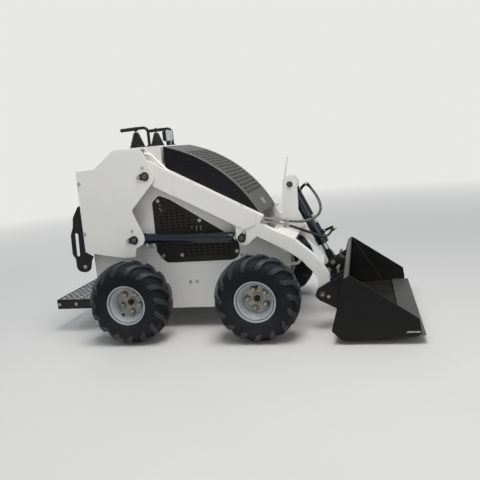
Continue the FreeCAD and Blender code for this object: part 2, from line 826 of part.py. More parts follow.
def make_half_tyre(side, phase):
    """Faces of one half of the tyre: tread and wall with their lugs, bead and inside."""
    outer, half = size("tyre_radius"), size("tyre_width") / 2
    crown = outer - size("lug_height")
    sweep = size("lug_sweep")
    foot = sweep + size("lug_foot_sweep")
    wide = size("lug_half_angle")
    peak = outer / math.cos(math.radians(wide - 0.7))
    bead, seat = size("bead_radius"), size("rim_width") / 2
    wall = size("tyre_wall")
    table = (
        # sweep, half angle, across, radius, across and radius of the lug's top
        (0, wide, 4, crown, 4, peak),
        (sweep, wide + 0.6, half - 30, crown - 3, half - 28, outer - 3),
        (foot, wide + 1.2, half - 5, crown - 30, half - 1, crown - 16),
        (foot + 1, wide + 0.8, half - 5, crown - 54, half, crown - 42),
    )
    rows = []
    tops = []
    for turn, spread, across, radius, top_across, top_radius in table:
        rows.append(lug_row(turn, spread, side * across, radius, phase))
        tops.append(lug_row(turn, spread - 0.7, side * top_across, top_radius, phase))
    faces = []
    for low, after, top, over in zip(rows, rows[1:], tops, tops[1:]):
        for start in range(0, len(low) - 1, 2):
            faces += strip_faces(low[start + 1:start + 3], after[start + 1:start + 3])
            faces += strip_faces(top[start:start + 2], over[start:start + 2])
            for edge in (start, start + 1):
                faces += strip_faces([low[edge], after[edge]], [top[edge], over[edge]])
    for low, top in ((rows[0], tops[0]), (rows[-1], tops[-1])):
        for start in range(0, len(low) - 1, 2):
            faces += strip_faces(low[start:start + 2], top[start:start + 2])
    inner = []
    lip = size("rim_lip_radius")
    widen = 1 / math.cos(math.radians(180 / size("lug_count") - wide - 0.8))
    for across, radius in ((seat + 8, lip + 7), (seat, lip + 1), (seat, bead), (seat - wall, bead),
                           (half - wall - 8, outer - 60)):
        inner.append(lug_row(foot + 1, wide + 0.8, side * across, radius * widen, phase))
    for first, second in zip([rows[-1], *inner], inner):
        faces += strip_faces(first, second)
    return faces, rows[0], inner[-1]


def make_tyre():
    """Hollow tyre of flat facets: staggered lugs in two leaning rows that wrap the shoulders."""
    right, right_crown, right_inside = make_half_tyre(-1, 0)
    left, left_crown, left_inside = make_half_tyre(1, 180 / size("lug_count"))
    joins = strip_faces(right_crown, left_crown) + strip_faces(right_inside, left_inside)
    solid = Part.Solid(Part.Shell(right + left + joins))
    if solid.Volume < 0:
        solid.reverse()
    item = doc.addObject("Part::Feature", "tyre_form")
    item.Shape = solid
    return item


def make_wheels():
    """Four wheels from one form, mirrored on the left."""
    parts = []
    forms = [(name, form, mirrored(form)) for name, form in make_wheel_forms()]
    for end, x in (("front", "rear_axle_x + wheel_base"), ("rear", "rear_axle_x")):
        for side, sign in (("right", "0 - "), ("left", "")):
            for name, form, twin in forms:
                piece = combined(f"{name}_{end}_{side}", [form if side == "right" else twin])
                place(piece, along=x, across=sign + "wheel_track_half", height="tyre_radius")
                parts.append(piece)
    return parts


def make_hood_slots():
    """Cutters for the hood's slots: one set across, repeated around the centre of its curve."""
    body = new_body("hood_slots", along="rear_axle_x + hood_centre_x", height="hood_centre_height",
                    pitch="hood_slot_start")
    sketch = new_sketch(body, plane="XY_Plane", offset="hood_curve - 20")
    for row in (-3.5, -2.5, -1.5, -0.5, 0.5, 1.5, 2.5, 3.5):
        near = f"{row} * hood_slot_rows - hood_slot_width / 2"
        far = f"{row} * hood_slot_rows + hood_slot_width / 2"
        draw_loop(sketch, (
            ("0 - hood_slot_length / 2", near),
            ("hood_slot_length / 2", near),
            ("hood_slot_length / 2", far),
            ("0 - hood_slot_length / 2", far),
        ))
    slots = pad(body, sketch, "40")
    pattern = body.newObject("PartDesign::PolarPattern", "hood_slots_along")
    pattern.Originals = [slots]
    axis = [item for item in body.Origin.OriginFeatures if item.Role == "Y_Axis"][0]
    pattern.Axis = (axis, [""])
    pattern.setExpression("Angle", bound("hood_slot_span"))
    pattern.setExpression("Occurrences", bound("hood_slot_count"))
    body.Tip = pattern
    return body


def make_hood():
    """Curved hood top with a side panel below each edge."""
    curve = "hood_curve"
    inner_bend = ("hood_bend_x - hood_sheet", "hood_bend_height - hood_sheet", curve)
    profile = (
        ("hood_rear", "hood_top_height"),
        ("hood_bend_x", "hood_bend_height", curve),
        ("hood_front", "hood_front_height"),
        ("hood_front - 5", "hood_front_height"),
        inner_bend,
        ("hood_rear", "hood_top_height - hood_sheet"),
    )
    sheet = plate("hood_sheet_solid", profile, "0 - hood_half_width", "2 * hood_half_width")
    top = subtract("hood_top_cut", sheet, make_hood_slots())
    side = plate("hood_side", (
        ("hood_rear", "hood_top_height - hood_sheet"),
        inner_bend,
        ("hood_front - 5", "hood_front_height"),
        ("hood_front - 16", "hood_front_height"),
        ("hood_rear + 4", "lift_pivot_height - 1"),
        ("hood_rear", "lift_pivot_height + 15"),
    ), "hood_half_width - 3", "3")
    latch = doc.addObject("Part::Box", "hood_latch")
    latch.Length, latch.Width, latch.Height = 6, 34, 26
    place(latch, across="-17", pitch="-33",
          **axis_along(x="hood_front - 34.1", height="hood_front_height + 59.1"))
    return [top, both_sides("hood_sides", side), latch]


def arm_edge(x, high=False):
    """Height of the arm's lower or upper edge line at an x from the rear axle."""
    return f"{'arm_high_z' if high else 'arm_low_z'} - ({x} - lift_pivot_x) * arm_tan"


def make_arms():
    """Box-section lifting arms with their forward goosenecks and ram lugs."""
    outline = (
        ("lift_pivot_x - 60", "arm_low_z + 8", "40"),
        ("lift_pivot_x + 6", "arm_low_z - 4"),
        ("bucket_pin_x - 190", arm_edge("bucket_pin_x - 190"), "150"),
        ("bucket_pin_x - 112", "bucket_pin_height + 209", "120"),
        ("bucket_pin_x - 46", "bucket_pin_height + 134", "120"),
        ("bucket_pin_x - 21", "bucket_pin_height + 89"),
        ("bucket_pin_x - 37", "bucket_pin_height - 30", "32"),
        ("bucket_pin_x + 40", "bucket_pin_height - 38", "34"),
        ("bucket_pin_x + 47", "bucket_pin_height + 108", "40"),
        ("bucket_pin_x - 19", "bucket_pin_height + 214", "120"),
        ("bucket_pin_x - 149", "bucket_pin_height + 333", "60"),
        ("bucket_pin_x - 339", arm_edge("bucket_pin_x - 339", True) + " - 59", "12"),
        ("bucket_pin_x - 310", arm_edge("bucket_pin_x - 310", True), "12"),
        ("lift_pivot_x + 10", arm_edge("lift_pivot_x + 10", True), "30"),
        ("lift_pivot_x - 60", "lift_pivot_height + 62", "40"),
    )
    holes = (
        ("lift_pivot_x", "lift_pivot_height", "pivot_pin_radius + running_fit"),
        ("bucket_pin_x", "bucket_pin_height", "pivot_pin_radius + running_fit"),
    )
    beam = plate("arm_beam", outline, "arm_inner", "arm_width", holes)
    lug_outline = (
        ("ram_eye_x - 30", "ram_eye_height + 120"),
        ("ram_eye_x - 34", "ram_eye_height + 6", "10"),
        ("ram_eye_x - 14", "ram_eye_height - 42", "30"),
        ("ram_eye_x + 22", "ram_eye_height - 46", "30"),
        ("ram_eye_x + 98", "ram_eye_height + 13"),
        ("ram_eye_x + 151", "ram_eye_height + 59"),
        ("ram_eye_x + 60", "ram_eye_height + 110"),
    )
    hole = (("ram_eye_x", "ram_eye_height", "small_pin_radius"),)
    outer = plate("arm_lug_outer", lug_outline, "arm_outer - lug_plate", "lug_plate", hole)
    inner = plate("arm_lug_inner", lug_outline, "arm_inner", "lug_plate")
    arm = combined("arm", [beam, outer, inner], "Part::MultiFuse")
    return both_sides("lift_arms", arm)


def make_arm_covers():
    """Cover plates over the hydraulic lines on the arms' outer faces."""
    outline = (
        ("lift_pivot_x + 158", f"{arm_edge('lift_pivot_x + 158')} + 62", "20"),
        ("lift_pivot_x + 178", f"{arm_edge('lift_pivot_x + 178')} + 4", "20"),
        ("ram_eye_x + 20", f"{arm_edge('ram_eye_x + 20')} + 4", "30"),
        ("ram_eye_x + 90", f"{arm_edge('ram_eye_x + 90')} + 66", "30"),
        ("ram_eye_x + 78", f"{arm_edge('ram_eye_x + 78')} + 106", "10"),
        ("lift_pivot_x + 168", f"{arm_edge('lift_pivot_x + 168')} + 108", "14"),
    )
    return both_sides("arm_covers", plate("arm_cover", outline, "arm_outer", "4"))


def make_arm_pins():
    """Stub pins in the outer ram lugs, ending short of the ram's eye, with keepers outside."""
    where = axis_along(x="ram_eye_x", height="ram_eye_height")
    stub = rod("ram_stub", "small_pin_radius", "arm_outer - ram_stub_start", "ram_stub_start", **where)
    keeper = plate("ram_stub_keeper", (
        ("ram_eye_x - 24", "ram_eye_height - 22", "14"),
        ("ram_eye_x + 24", "ram_eye_height - 22", "14"),
        ("ram_eye_x + 28", "ram_eye_height + 40", "5"),
        ("ram_eye_x + 12", "ram_eye_height + 40", "5"),
        ("ram_eye_x - 24", "ram_eye_height + 14", "10"),
    ), "arm_outer", "keeper_thickness")
    return both_sides("arm_pins", combined("arm_pin", [stub, keeper], "Part::MultiFuse"))


def make_cross_member():
    """Box section between the arms at the knee, with the tilt tower on it."""
    section = (
        ("bucket_pin_x - 244", "bucket_pin_height + 382"),
        ("bucket_pin_x - 264", "bucket_pin_height + 342"),
        ("bucket_pin_x - 159", "bucket_pin_height + 288"),
        ("bucket_pin_x - 139", "bucket_pin_height + 328"),
    )
    beam = plate("cross_beam", section, "0 - arm_inner", "2 * arm_inner")
    outer = (
        ("tilt_pin_x - 62", "tilt_pin_height - 250"),
        ("tilt_pin_x + 36", "tilt_pin_height - 302"),
        ("tilt_pin_x + 73", "tilt_pin_height - 232"),
        ("tilt_pin_x + 43", "tilt_pin_height - 163", "40"),
        ("tilt_pin_x + 46", "tilt_pin_height + 52", "44"),
        ("tilt_pin_x - 42", "tilt_pin_height + 50", "44"),
    )
    body = new_body("tower_channel")
    sketch = new_sketch(body, offset="0 - tower_half_width")
    draw_loop(sketch, outer)
    pad(body, sketch, "2 * tower_half_width")
    round_corners(body, sketch, outer)
    inside = new_sketch(body, offset="tower_wall - tower_half_width")
    draw_loop(inside, (
        ("tilt_pin_x - 50", "tilt_pin_height - 232"),
        ("tilt_pin_x + 60", "tilt_pin_height - 290"),
        ("tilt_pin_x + 120", "tilt_pin_height - 290"),
        ("tilt_pin_x + 120", "tilt_pin_height + 80"),
        ("tilt_pin_x - 34", "tilt_pin_height + 80"),
    ))
    pocket(body, inside, "2 * (tower_half_width - tower_wall)")
    pin = rod("tilt_tower_pin", "small_pin_radius", "2 * tower_half_width + 8", "0 - tower_half_width - 4",
              **axis_along(x="tilt_pin_x", height="tilt_pin_height"))
    flag = plate("tilt_tower_flag", (
        ("tilt_pin_x - 52", "tilt_pin_height - 20"),
        ("tilt_pin_x - 40", "tilt_pin_height - 20"),
        ("tilt_pin_x - 3", "tilt_pin_height + 169"),
        ("tilt_pin_x - 11", "tilt_pin_height + 171"),
    ), "-2", "4")
    return combined("tilt_tower", [beam, body, pin, flag], "Part::MultiFuse")


def make_lines():
    """Steel tubes from the right arm's end to a clamp on the cross-member."""
    start = size("rear_axle_x")
    pieces = []
    table = (
        # name, then along, across and height of the arm's end, then height at the clamp
        ("upper", 812.5, -291.7, 677.7, 624),
        ("lower", 799.4, -293.1, 658.8, 596),
    )
    for name, along, across, height, low in table:
        points = ((start + along, across, height), (start + 925, -98, low))
        pieces.append(tube_along(f"line_{name}", size("line_radius"), points))
    clamp = plate("line_clamp", (
        ("line_clamp_x", "bucket_pin_height + 369.4"),
        ("line_clamp_x + 22", "bucket_pin_height + 358.2"),
        ("line_clamp_x + 22", "bucket_pin_height + 418"),
        ("line_clamp_x", "bucket_pin_height + 424"),
    ), "82", "line_clamp_width")
    return combined("hydraulic_tubes", pieces + [clamp], "Part::MultiFuse")


def make_hoses():
    """Two hoses from the clamp to the tilt ram's ports."""
    routes = (
        ("hose_upper", ((929.8, -97.6, 621.5), (1060, -76, 596), (1156, -62, 700), (1064, -52, 822))),
        ("hose_lower", ((930.5, -97.5, 592.7), (1122, -66, 512), (1198, -50, 560))),
    )
    return [make_cord(label, size("hose_radius"), route) for label, route in routes]


def make_cord(label, radius, route):
    """A round cord: straight runs joined by tangent arcs that take nine tenths of the shorter run."""
    spots = [FreeCAD.Vector(size("rear_axle_x") + along, across, height) for along, across, height in route]
    bends = []
    for before, corner, after in zip(spots, spots[1:], spots[2:]):
        turn = (corner - before).getAngle(after - corner)
        bends.append(0.45 * min((corner - before).Length, (after - corner).Length) / math.tan(turn / 2))
    item = doc.addObject("Part::Feature", label)
    item.Label = label
    item.Shape = bent_tube(radius, spots, bends)
    length = item.Shape.Volume / (math.pi * radius ** 2)
    print(label, "bend radii", [round(bend, 1) for bend in bends], "length", round(length, 1))
    return item


def make_ram(label, foot, **sizes):
    """A hydraulic ram along its own X axis: the barrel with its foot eye, and the rod."""
    start, end = sizes["start"], sizes["end"]
    inner_end = f"{end} - gland_length - {sizes['stroke']}"
    tube = new_body(f"{label}_tube", **foot)
    sketch = new_sketch(tube, plane="XY_Plane")
    draw_loop(sketch, (
        (start, "0"),
        (f"{start} + 24", "0"),
        (f"{start} + 24", sizes["bore"]),
        (f"{end} - gland_length", sizes["bore"]),
        (f"{end} - gland_length", f"{sizes['shaft']} + running_fit"),
        (end, f"{sizes['shaft']} + running_fit"),
        (end, sizes["radius"]),
        (start, sizes["radius"]),
    ))
    turn = tube.newObject("PartDesign::Revolution", f"{label}_tube_turn")
    turn.Profile = sketch
    turn.ReferenceAxis = (sketch, ["H_Axis"])
    eye = eye_block(f"{label}_foot_eye", sizes["eye"], sizes["width"], f"{start} + 6", foot)
    barrel = combined(f"{label}_barrel_side", [tube, eye], "Part::MultiFuse")
    shaft = new_body(f"{label}_shaft", **foot)
    line = new_sketch(shaft, plane="YZ_Plane", offset=inner_end)
    draw_circle(line, "0", "0", sizes["shaft"])
    pad(shaft, line, f"{sizes['shaft_end']} - ({inner_end})")
    return barrel, shaft


def eye_block(label, radius, width, reach, where):
    """A bored eye about the foot of a ram, with a neck that reaches along X."""
    body = new_body(label, **where)
    sketch = new_sketch(body, offset=f"0 - ({width}) / 2")
    corners = (
        (f"0 - {radius}", f"0 - {radius}", f"{radius} - 0.5"),
        (reach, f"0 - {radius}"),
        (reach, radius),
        (f"0 - {radius}", radius, f"{radius} - 0.5"),
    )
    draw_loop(sketch, corners)
    draw_circle(sketch, "0", "0", "small_pin_radius + running_fit")
    pad(body, sketch, width)
    round_corners(body, sketch, corners)
    return body


def far_eye(label, distance, neck, radius, width, where):
    """A bored eye at a distance along X, with a neck back to the rod's end."""
    body = new_body(label, **where)
    sketch = new_sketch(body, offset=f"0 - ({width}) / 2")
    corners = (
        (neck, f"0 - {radius}", "10"),
        (f"{distance} + {radius}", f"0 - {radius}", f"{radius} - 0.5"),
        (f"{distance} + {radius}", radius, f"{radius} - 0.5"),
        (neck, radius, "10"),
    )
    draw_loop(sketch, corners)
    draw_circle(sketch, distance, "0", "small_pin_radius + running_fit")
    pad(body, sketch, width)
    round_corners(body, sketch, corners)
    return body


def make_lift_rams():
    """Lift rams between tower and arms, one on each side."""
    foot = {"across": "0 - ram_centre", "pitch": "ram_angle",
            **axis_along(x="ram_foot_x", height="ram_foot_height")}
    barrel, shaft = make_ram("lift_ram", foot, start="ram_tube_start", end="ram_tube_end",
                             stroke="ram_stroke", bore="ram_bore_radius", shaft="ram_rod_radius",
                             radius="ram_radius", eye="ram_eye_radius", width="ram_eye_width",
                             shaft_end="ram_length - ram_eye_radius + 2")
    eye = far_eye("lift_ram_rod_eye", "ram_length", "ram_length - ram_eye_radius",
                  "ram_eye_radius", "ram_eye_width", foot)
    piece = combined("lift_ram_rod_side", [shaft, eye], "Part::MultiFuse")
    return [both_sides("lift_barrels", barrel), both_sides("lift_rods", piece)]


def make_tilt_ram():
    """Tilt ram between its tower and the bucket's lever, on the centre line."""
    foot = {"pitch": "tilt_angle", **axis_along(x="tilt_pin_x", height="tilt_pin_height")}
    barrel, shaft = make_ram("tilt_ram", foot, start="tilt_radius + 3", end="tilt_tube_end",
                             stroke="tilt_stroke", bore="tilt_bore_radius", shaft="tilt_rod_radius",
                             radius="tilt_radius", eye="ram_eye_radius", width="tilt_eye_width",
                             shaft_end="tilt_length - knuckle_length + 20")
    barrel.Label = "tilt_barrel"
    knuckle = far_eye("tilt_knuckle", "tilt_length", "tilt_length - knuckle_length",
                      "ram_eye_radius", "tilt_eye_width", foot)
    piece = combined("tilt_rod", [shaft, knuckle], "Part::MultiFuse")
    return [barrel, piece]


def at_bucket():
    """Where the bucket's pieces lie: about the bucket pin, leaning as the back plate does."""
    return {"pitch": "bucket_lean", **axis_along(x="bucket_pin_x", height="bucket_pin_height")}


def make_attach():
    """Quick attach: face plate, a pair of cheeks at each arm and the lever lugs in the middle."""
    back = "attach_face - attach_plate"
    face = plate("attach_plate_solid", (
        (back, "attach_bottom"),
        ("attach_face", "attach_bottom"),
        ("attach_face", "attach_top"),
        (back, "attach_top"),
    ), "0 - attach_half_width", "2 * attach_half_width", **at_bucket())
    outline = (
        ("-42", "-18", "24"),
        ("-8", "-38", "30"),
        (back, "attach_bottom"),
        (back, "attach_top"),
        ("78", "attach_top"),
        ("-34", "28", "30"),
    )
    hole = (("0", "0", "pivot_pin_radius"),)
    cheeks = [plate(f"cheek_{name}", outline, inner, "tower_plate", hole, **at_bucket())
              for name, inner in (("outer", "arm_outer + 6"), ("inner", "arm_inner - 6 - tower_plate"))]
    lever = plate("lever_lug", (
        (back, "20"),
        (back, "attach_top"),
        ("lever_n + 12", "lever_u + 36", "25"),
        ("lever_n - 36", "lever_u + 10", "26"),
        ("lever_n - 20", "lever_u - 32", "26"),
    ), "tilt_eye_width / 2 + eye_gap", "tower_plate", (("lever_n", "lever_u", "small_pin_radius"),),
        **at_bucket())
    handle = plate("latch_handle", (
        (back, "112"),
        (back, "120"),
        ("66", "126"),
        ("54", "150"),
        ("60", "163"),
        ("53", "167"),
        ("44", "150"),
        ("60", "118"),
    ), "attach_half_width - 134", "26", **at_bucket())
    side = cheeks + [lever, handle]
    return combined("quick_attach", [face] + side + [mirrored(item) for item in side], "Part::MultiFuse")


def make_bucket_pins():
    """Pins that carry the bucket on the arms, and the lever's stub pins."""
    pin = rod("bucket_pin", "pivot_pin_radius", "arm_width + 12 + 2 * tower_plate",
              "arm_inner - 6 - tower_plate", **axis_along(x="bucket_pin_x", height="bucket_pin_height"))
    stub = rod("lever_stub", "small_pin_radius", "tower_plate + 10", "tilt_eye_width / 2 + eye_gap",
               **axis_along(x="tilt_eye_x", height="tilt_eye_height"))
    return combined("bucket_pins", [pin, mirrored(pin), stub, mirrored(stub)])


def make_bucket():
    """Bucket: folded back and floor sheet between two side plates, and the cutting edge."""
    side_outline = (
        ("88", "178"),
        ("90", "-121", "10"),
        ("163", "-157", "12"),
        ("530", "-28.4"),
        ("538", "-3"),
        ("509", "64"),
        ("130", "198"),
        ("108", "202"),
    )
    side = plate("bucket_side_plate", side_outline, "bucket_half_width - bucket_side", "bucket_side",
                 **at_bucket())
    sheet = plate("bucket_sheet_solid", (
        ("attach_face", "198"),
        ("attach_face", "-114"),
        ("164", "-155.4"),
        ("455", "-53.5"),
        ("453", "-47.8"),
        ("164", "-149"),
        ("attach_face + bucket_sheet", "-111"),
        ("attach_face + bucket_sheet", "198"),
    ), "bucket_side - bucket_half_width", "2 * (bucket_half_width - bucket_side)", **at_bucket())
    lip = plate("bucket_lip", (
        ("87", "178"),
        ("92", "174"),
        ("112", "198"),
        ("107", "202"),
    ), "bucket_side - bucket_half_width", "2 * (bucket_half_width - bucket_side)", **at_bucket())
    shell = combined("bucket_shell", [sheet, lip, side, mirrored(side)], "Part::MultiFuse")
    edge = plate("cutting_edge", (
        ("455", "-53.5"),
        ("565", "-15"),
        ("560", "-5"),
        ("450", "-40"),
        ("453", "-47.8"),
    ), "bucket_side - bucket_half_width", "2 * (bucket_half_width - bucket_side)", **at_bucket())
    return [shell, edge]


def make_hinge():
    """Hood hinge: ears with pins on the console, and the eyes of the hood that turn on them."""
    where = axis_along(x="hood_hinge_x", height="hood_hinge_height")
    half = "hinge_eye_width / 2"
    pin = rod("hinge_pin", "hinge_pin_radius", "hinge_eye_width + 18", f"hinge_offset - {half} - 9",
              **where)
    ear_outline = (
        ("console_front - 1", "hood_hinge_height - 8"),
        ("hood_hinge_x + 6", "hood_hinge_height - 6", "4"),
        ("hood_hinge_x + 6", "hood_hinge_height + 6", "4"),
        ("console_front - 1", "hood_hinge_height + 8"),
    )
    sides = (("outer", f"hinge_offset + {half} + 1"), ("inner", f"hinge_offset - {half} - 9"))
    ears = [plate(f"hinge_ear_{name}", ear_outline, start, "8") for name, start in sides]
    eye = rod("hinge_eye", "hinge_eye_radius", "hinge_eye_width", f"hinge_offset - {half}", **where)
    tongue = plate("hinge_tongue", (
        ("hood_hinge_x", "hood_hinge_height + 2"),
        ("hood_rear + 30", "hood_hinge_height - 4"),
        ("hood_rear + 30", "hood_top_height - 12"),
        ("hood_rear + 2", "hood_top_height - 2"),
        ("hood_hinge_x", "hood_hinge_height + 8"),
    ), f"hinge_offset - {half}", "hinge_eye_width")
    bore = rod("hinge_bore", "hinge_pin_radius + running_fit", "hinge_eye_width + 2",
               f"hinge_offset - {half} - 1", **where)
    knuckle = subtract("hinge_knuckle", combined("hinge_leaf", [eye, tongue], "Part::MultiFuse"), bore)
    return [pin] + ears, knuckle


def build():
    """Make every sub-part of the machine."""
    frame = make_frame()
    hinge_fixed, knuckle = make_hinge()
    console_solid = make_console()
    console_solid.Label = "console_housing"
    fixed = hinge_fixed + [mirrored(item) for item in hinge_fixed]
    console = combined("console", [console_solid] + fixed, "Part::MultiFuse")
    top, sides, latch = make_hood()
    top.Label = "hood_top_sheet"
    hood_top = combined("hood_top", [top, knuckle, mirrored(knuckle)], "Part::MultiFuse")
    parts = [frame, make_towers(), make_grille(), make_tower_pins(), console, *make_controls(),
             make_handrails(), make_lamp(), *make_platform(), make_rear_brackets(), make_engine(),
             make_tow_loop(), make_wheel_motors(), hood_top, sides, latch, *make_wheels(),
             make_arms(), make_arm_covers(), make_arm_pins(), make_cross_member(),
             *make_lift_rams(), *make_tilt_ram(), make_lines(), *make_hoses(), make_attach(),
             make_bucket_pins(), *make_bucket()]
    doc.recompute()
    return parts


def check_and_write(parts):
    """Stop on any failed object or shape, then write one file for each sub-part."""
    for item in doc.Objects:
        faults = [state for state in item.State if state in ("Invalid", "Error")]
        if faults:
            raise RuntimeError(f"{item.Label} is {faults}")
    for item in parts:
        if item.Shape.isNull() or not item.Shape.isValid() or not item.Shape.Solids:
            raise RuntimeError(f"{item.Label} has no valid solid")
    os.makedirs("parts", exist_ok=True)
    for item in parts:
        item.Shape.exportStep(f"parts/{item.Label}.step")
        print(item.Label, len(item.Shape.Solids), round(item.Shape.Volume / 1000, 1))


check_and_write(build())
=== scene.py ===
"""Looks of a small wheeled skid steer loader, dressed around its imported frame.

Metres. +X is forward to the bucket, +Y the machine's left, +Z up. Lengths along the machine are
written from the rear axle, as on a workshop drawing, and Machine places them in the frame.
"""
import json
import logging
import math
from dataclasses import dataclass, field
from enum import Enum
from typing import Callable, Sequence

import bmesh
import bpy
from mathutils import Matrix, Vector


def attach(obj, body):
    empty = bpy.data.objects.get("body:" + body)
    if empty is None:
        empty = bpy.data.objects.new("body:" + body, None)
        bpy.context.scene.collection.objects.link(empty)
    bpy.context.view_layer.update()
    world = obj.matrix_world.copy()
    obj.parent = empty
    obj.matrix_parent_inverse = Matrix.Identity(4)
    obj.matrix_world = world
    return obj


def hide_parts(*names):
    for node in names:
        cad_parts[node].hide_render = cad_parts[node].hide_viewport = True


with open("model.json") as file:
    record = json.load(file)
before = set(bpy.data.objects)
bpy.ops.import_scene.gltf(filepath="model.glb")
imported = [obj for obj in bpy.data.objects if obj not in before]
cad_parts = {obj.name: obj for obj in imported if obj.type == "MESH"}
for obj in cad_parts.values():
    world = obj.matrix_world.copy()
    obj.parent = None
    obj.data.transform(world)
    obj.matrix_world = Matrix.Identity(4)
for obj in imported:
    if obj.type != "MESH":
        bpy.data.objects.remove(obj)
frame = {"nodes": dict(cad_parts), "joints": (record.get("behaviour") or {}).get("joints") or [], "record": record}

LOG = logging.getLogger("loader")
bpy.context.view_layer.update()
MM = 0.001
FULL_TURN = 2 * math.pi
MERGE_GAP = 0.01  # millimetres under which two vertices are one
SHARP_TURN = math.radians(38)  # faces that turn by more show a sharp edge
SOFT_TURN = math.radians(30)  # edges that turn by more are rounded
AXLE_HEIGHT = 247.5
ORIGIN = (0, 0, 0)
FORWARD, OUT, UP = (1, 0, 0), (0, -1, 0), (0, 0, 1)

Color = tuple[float, float, float]
Point = tuple[float, float, float]
Spot = tuple[float, float]
Outline = Sequence[Spot]
Rows = tuple[tuple[float, ...], ...]


class Side(Enum):
    """The machine's two sides, by the sign of Y."""

    RIGHT = -1
    LEFT = 1

    @property
    def word(self) -> str:
        """The side as it stands in the frame's names."""
        return self.name.lower()


class End(Enum):
    """The two axles: place along the machine, turn of the wheel nuts and turn of the valve."""

    FRONT = (768.0, -19.0, 8.0)
    REAR = (0.0, -37.0, 213.0)

    def __init__(self, along: float, nut_turn: float, valve_turn: float) -> None:
        """Name the three values."""
        self.along, self.nut_turn, self.valve_turn = along, nut_turn, valve_turn

    @property
    def word(self) -> str:
        """The axle as it stands in the frame's names."""
        return self.name.lower()


class Machine:
    """The drawing's datum in the frame, read from the frame's joints."""

    joints = {joint["name"]: joint for joint in frame["joints"]}
    axle_x: float = joints["wheel_rear_right_spin"]["pos_m"][0]

    @classmethod
    def at(cls, along: float, across: float, height: float) -> Vector:
        """Place a point of the drawing in the frame.

        Args:
            along: Millimetres forward of the rear axle.
            across: Millimetres to the left of the middle.
            height: Millimetres above the ground.

        Returns:
            The point in metres.
        """
        return Vector((cls.axle_x + along * MM, across * MM, height * MM))

    @classmethod
    def leaning(cls, along: float, height: float, pitch: float) -> Matrix:
        """Where a frame in the middle plane lies that leans forward by some degrees."""
        turn = Matrix.Rotation(math.radians(pitch), 4, "Y")
        return Matrix.Translation(cls.at(along, 0, height)) @ turn


def around(degrees: float, radius: float = 1.0) -> Spot:
    """Where a turn from straight up ends on a circle, as forward and up."""
    turn = math.radians(degrees)
    return radius * math.sin(turn), radius * math.cos(turn)


def add_object(name: str, data: bpy.types.ID) -> bpy.types.Object:
    """Put an object into the scene.

    Args:
        name: The object's name.
        data: Its mesh, curve, lamp or camera.

    Returns:
        The object.
    """
    item = bpy.data.objects.new(name, data)
    bpy.context.scene.collection.objects.link(item)
    return item


class Tree:
    """A node tree with short calls for adding and joining nodes."""

    def __init__(self, tree: bpy.types.NodeTree) -> None:
        """Wrap a tree, emptied first."""
        self.tree = tree
        tree.nodes.clear()

    def add(self, kind: str, **settings: object) -> bpy.types.Node:
        """Add a node.

        Args:
            kind: The node's type without its ShaderNode or Node prefix.
            settings: Properties of the node, and inputs under a dict by name or number.

        Returns:
            The new node.
        """
        prefix = "Node" if kind.startswith("Group") and kind != "Group" else "ShaderNode"
        node = self.tree.nodes.new(prefix + kind)
        inputs = settings.pop("inputs", {})
        for name, value in settings.items():
            setattr(node, name, value)
        for name, value in inputs.items():
            self.feed(node.inputs[name], value)
        return node

    def feed(self, socket: bpy.types.NodeSocket, value: object) -> None:
        """Join an output to a socket, or set the socket's plain value.

        Args:
            socket: The input.
            value: An output, a number, a colour or a vector.
        """
        if isinstance(value, bpy.types.NodeSocket):
            self.tree.links.new(value, socket)
        elif isinstance(value, tuple) and len(value) == 3 and socket.type == "RGBA":
            socket.default_value = (*value, 1.0)
        else:
            socket.default_value = value

    def math(self, kind: str, first: object, second: object = 0.0, clamp: bool = False) -> object:
        """A maths node's output."""
        return self.add("Math", operation=kind, use_clamp=clamp,
                        inputs={0: first, 1: second}).outputs[0]

    def mix(self, factor: object, first: object, second: object) -> object:
        """A colour mix's output."""
        return self.add("Mix", data_type="RGBA",
                        inputs={0: factor, 6: first, 7: second}).outputs[2]

    def blend(self, factor: object, first: object, second: object) -> object:
        """A number mix's output."""
        return self.add("Mix", data_type="FLOAT",
                        inputs={0: factor, 2: first, 3: second}).outputs[0]

    def noise(self, place: object, scale: float, detail: float = 2.0,
              roughness: float = 0.5) -> object:
        """A noise texture's value."""
        return self.add("TexNoise", inputs={"Vector": place, "Scale": scale, "Detail": detail,
                                            "Roughness": roughness}).outputs["Fac"]

    def span(self, value: object, low: float, high: float) -> object:
        """A value stretched so that low gives 0 and high gives 1, held between them."""
        return self.add("MapRange", clamp=True, inputs={0: value, 1: low, 2: high}).outputs[0]

    def place(self, output: str = "Object") -> object:
        """A texture coordinate."""
        return self.add("TexCoord").outputs[output]


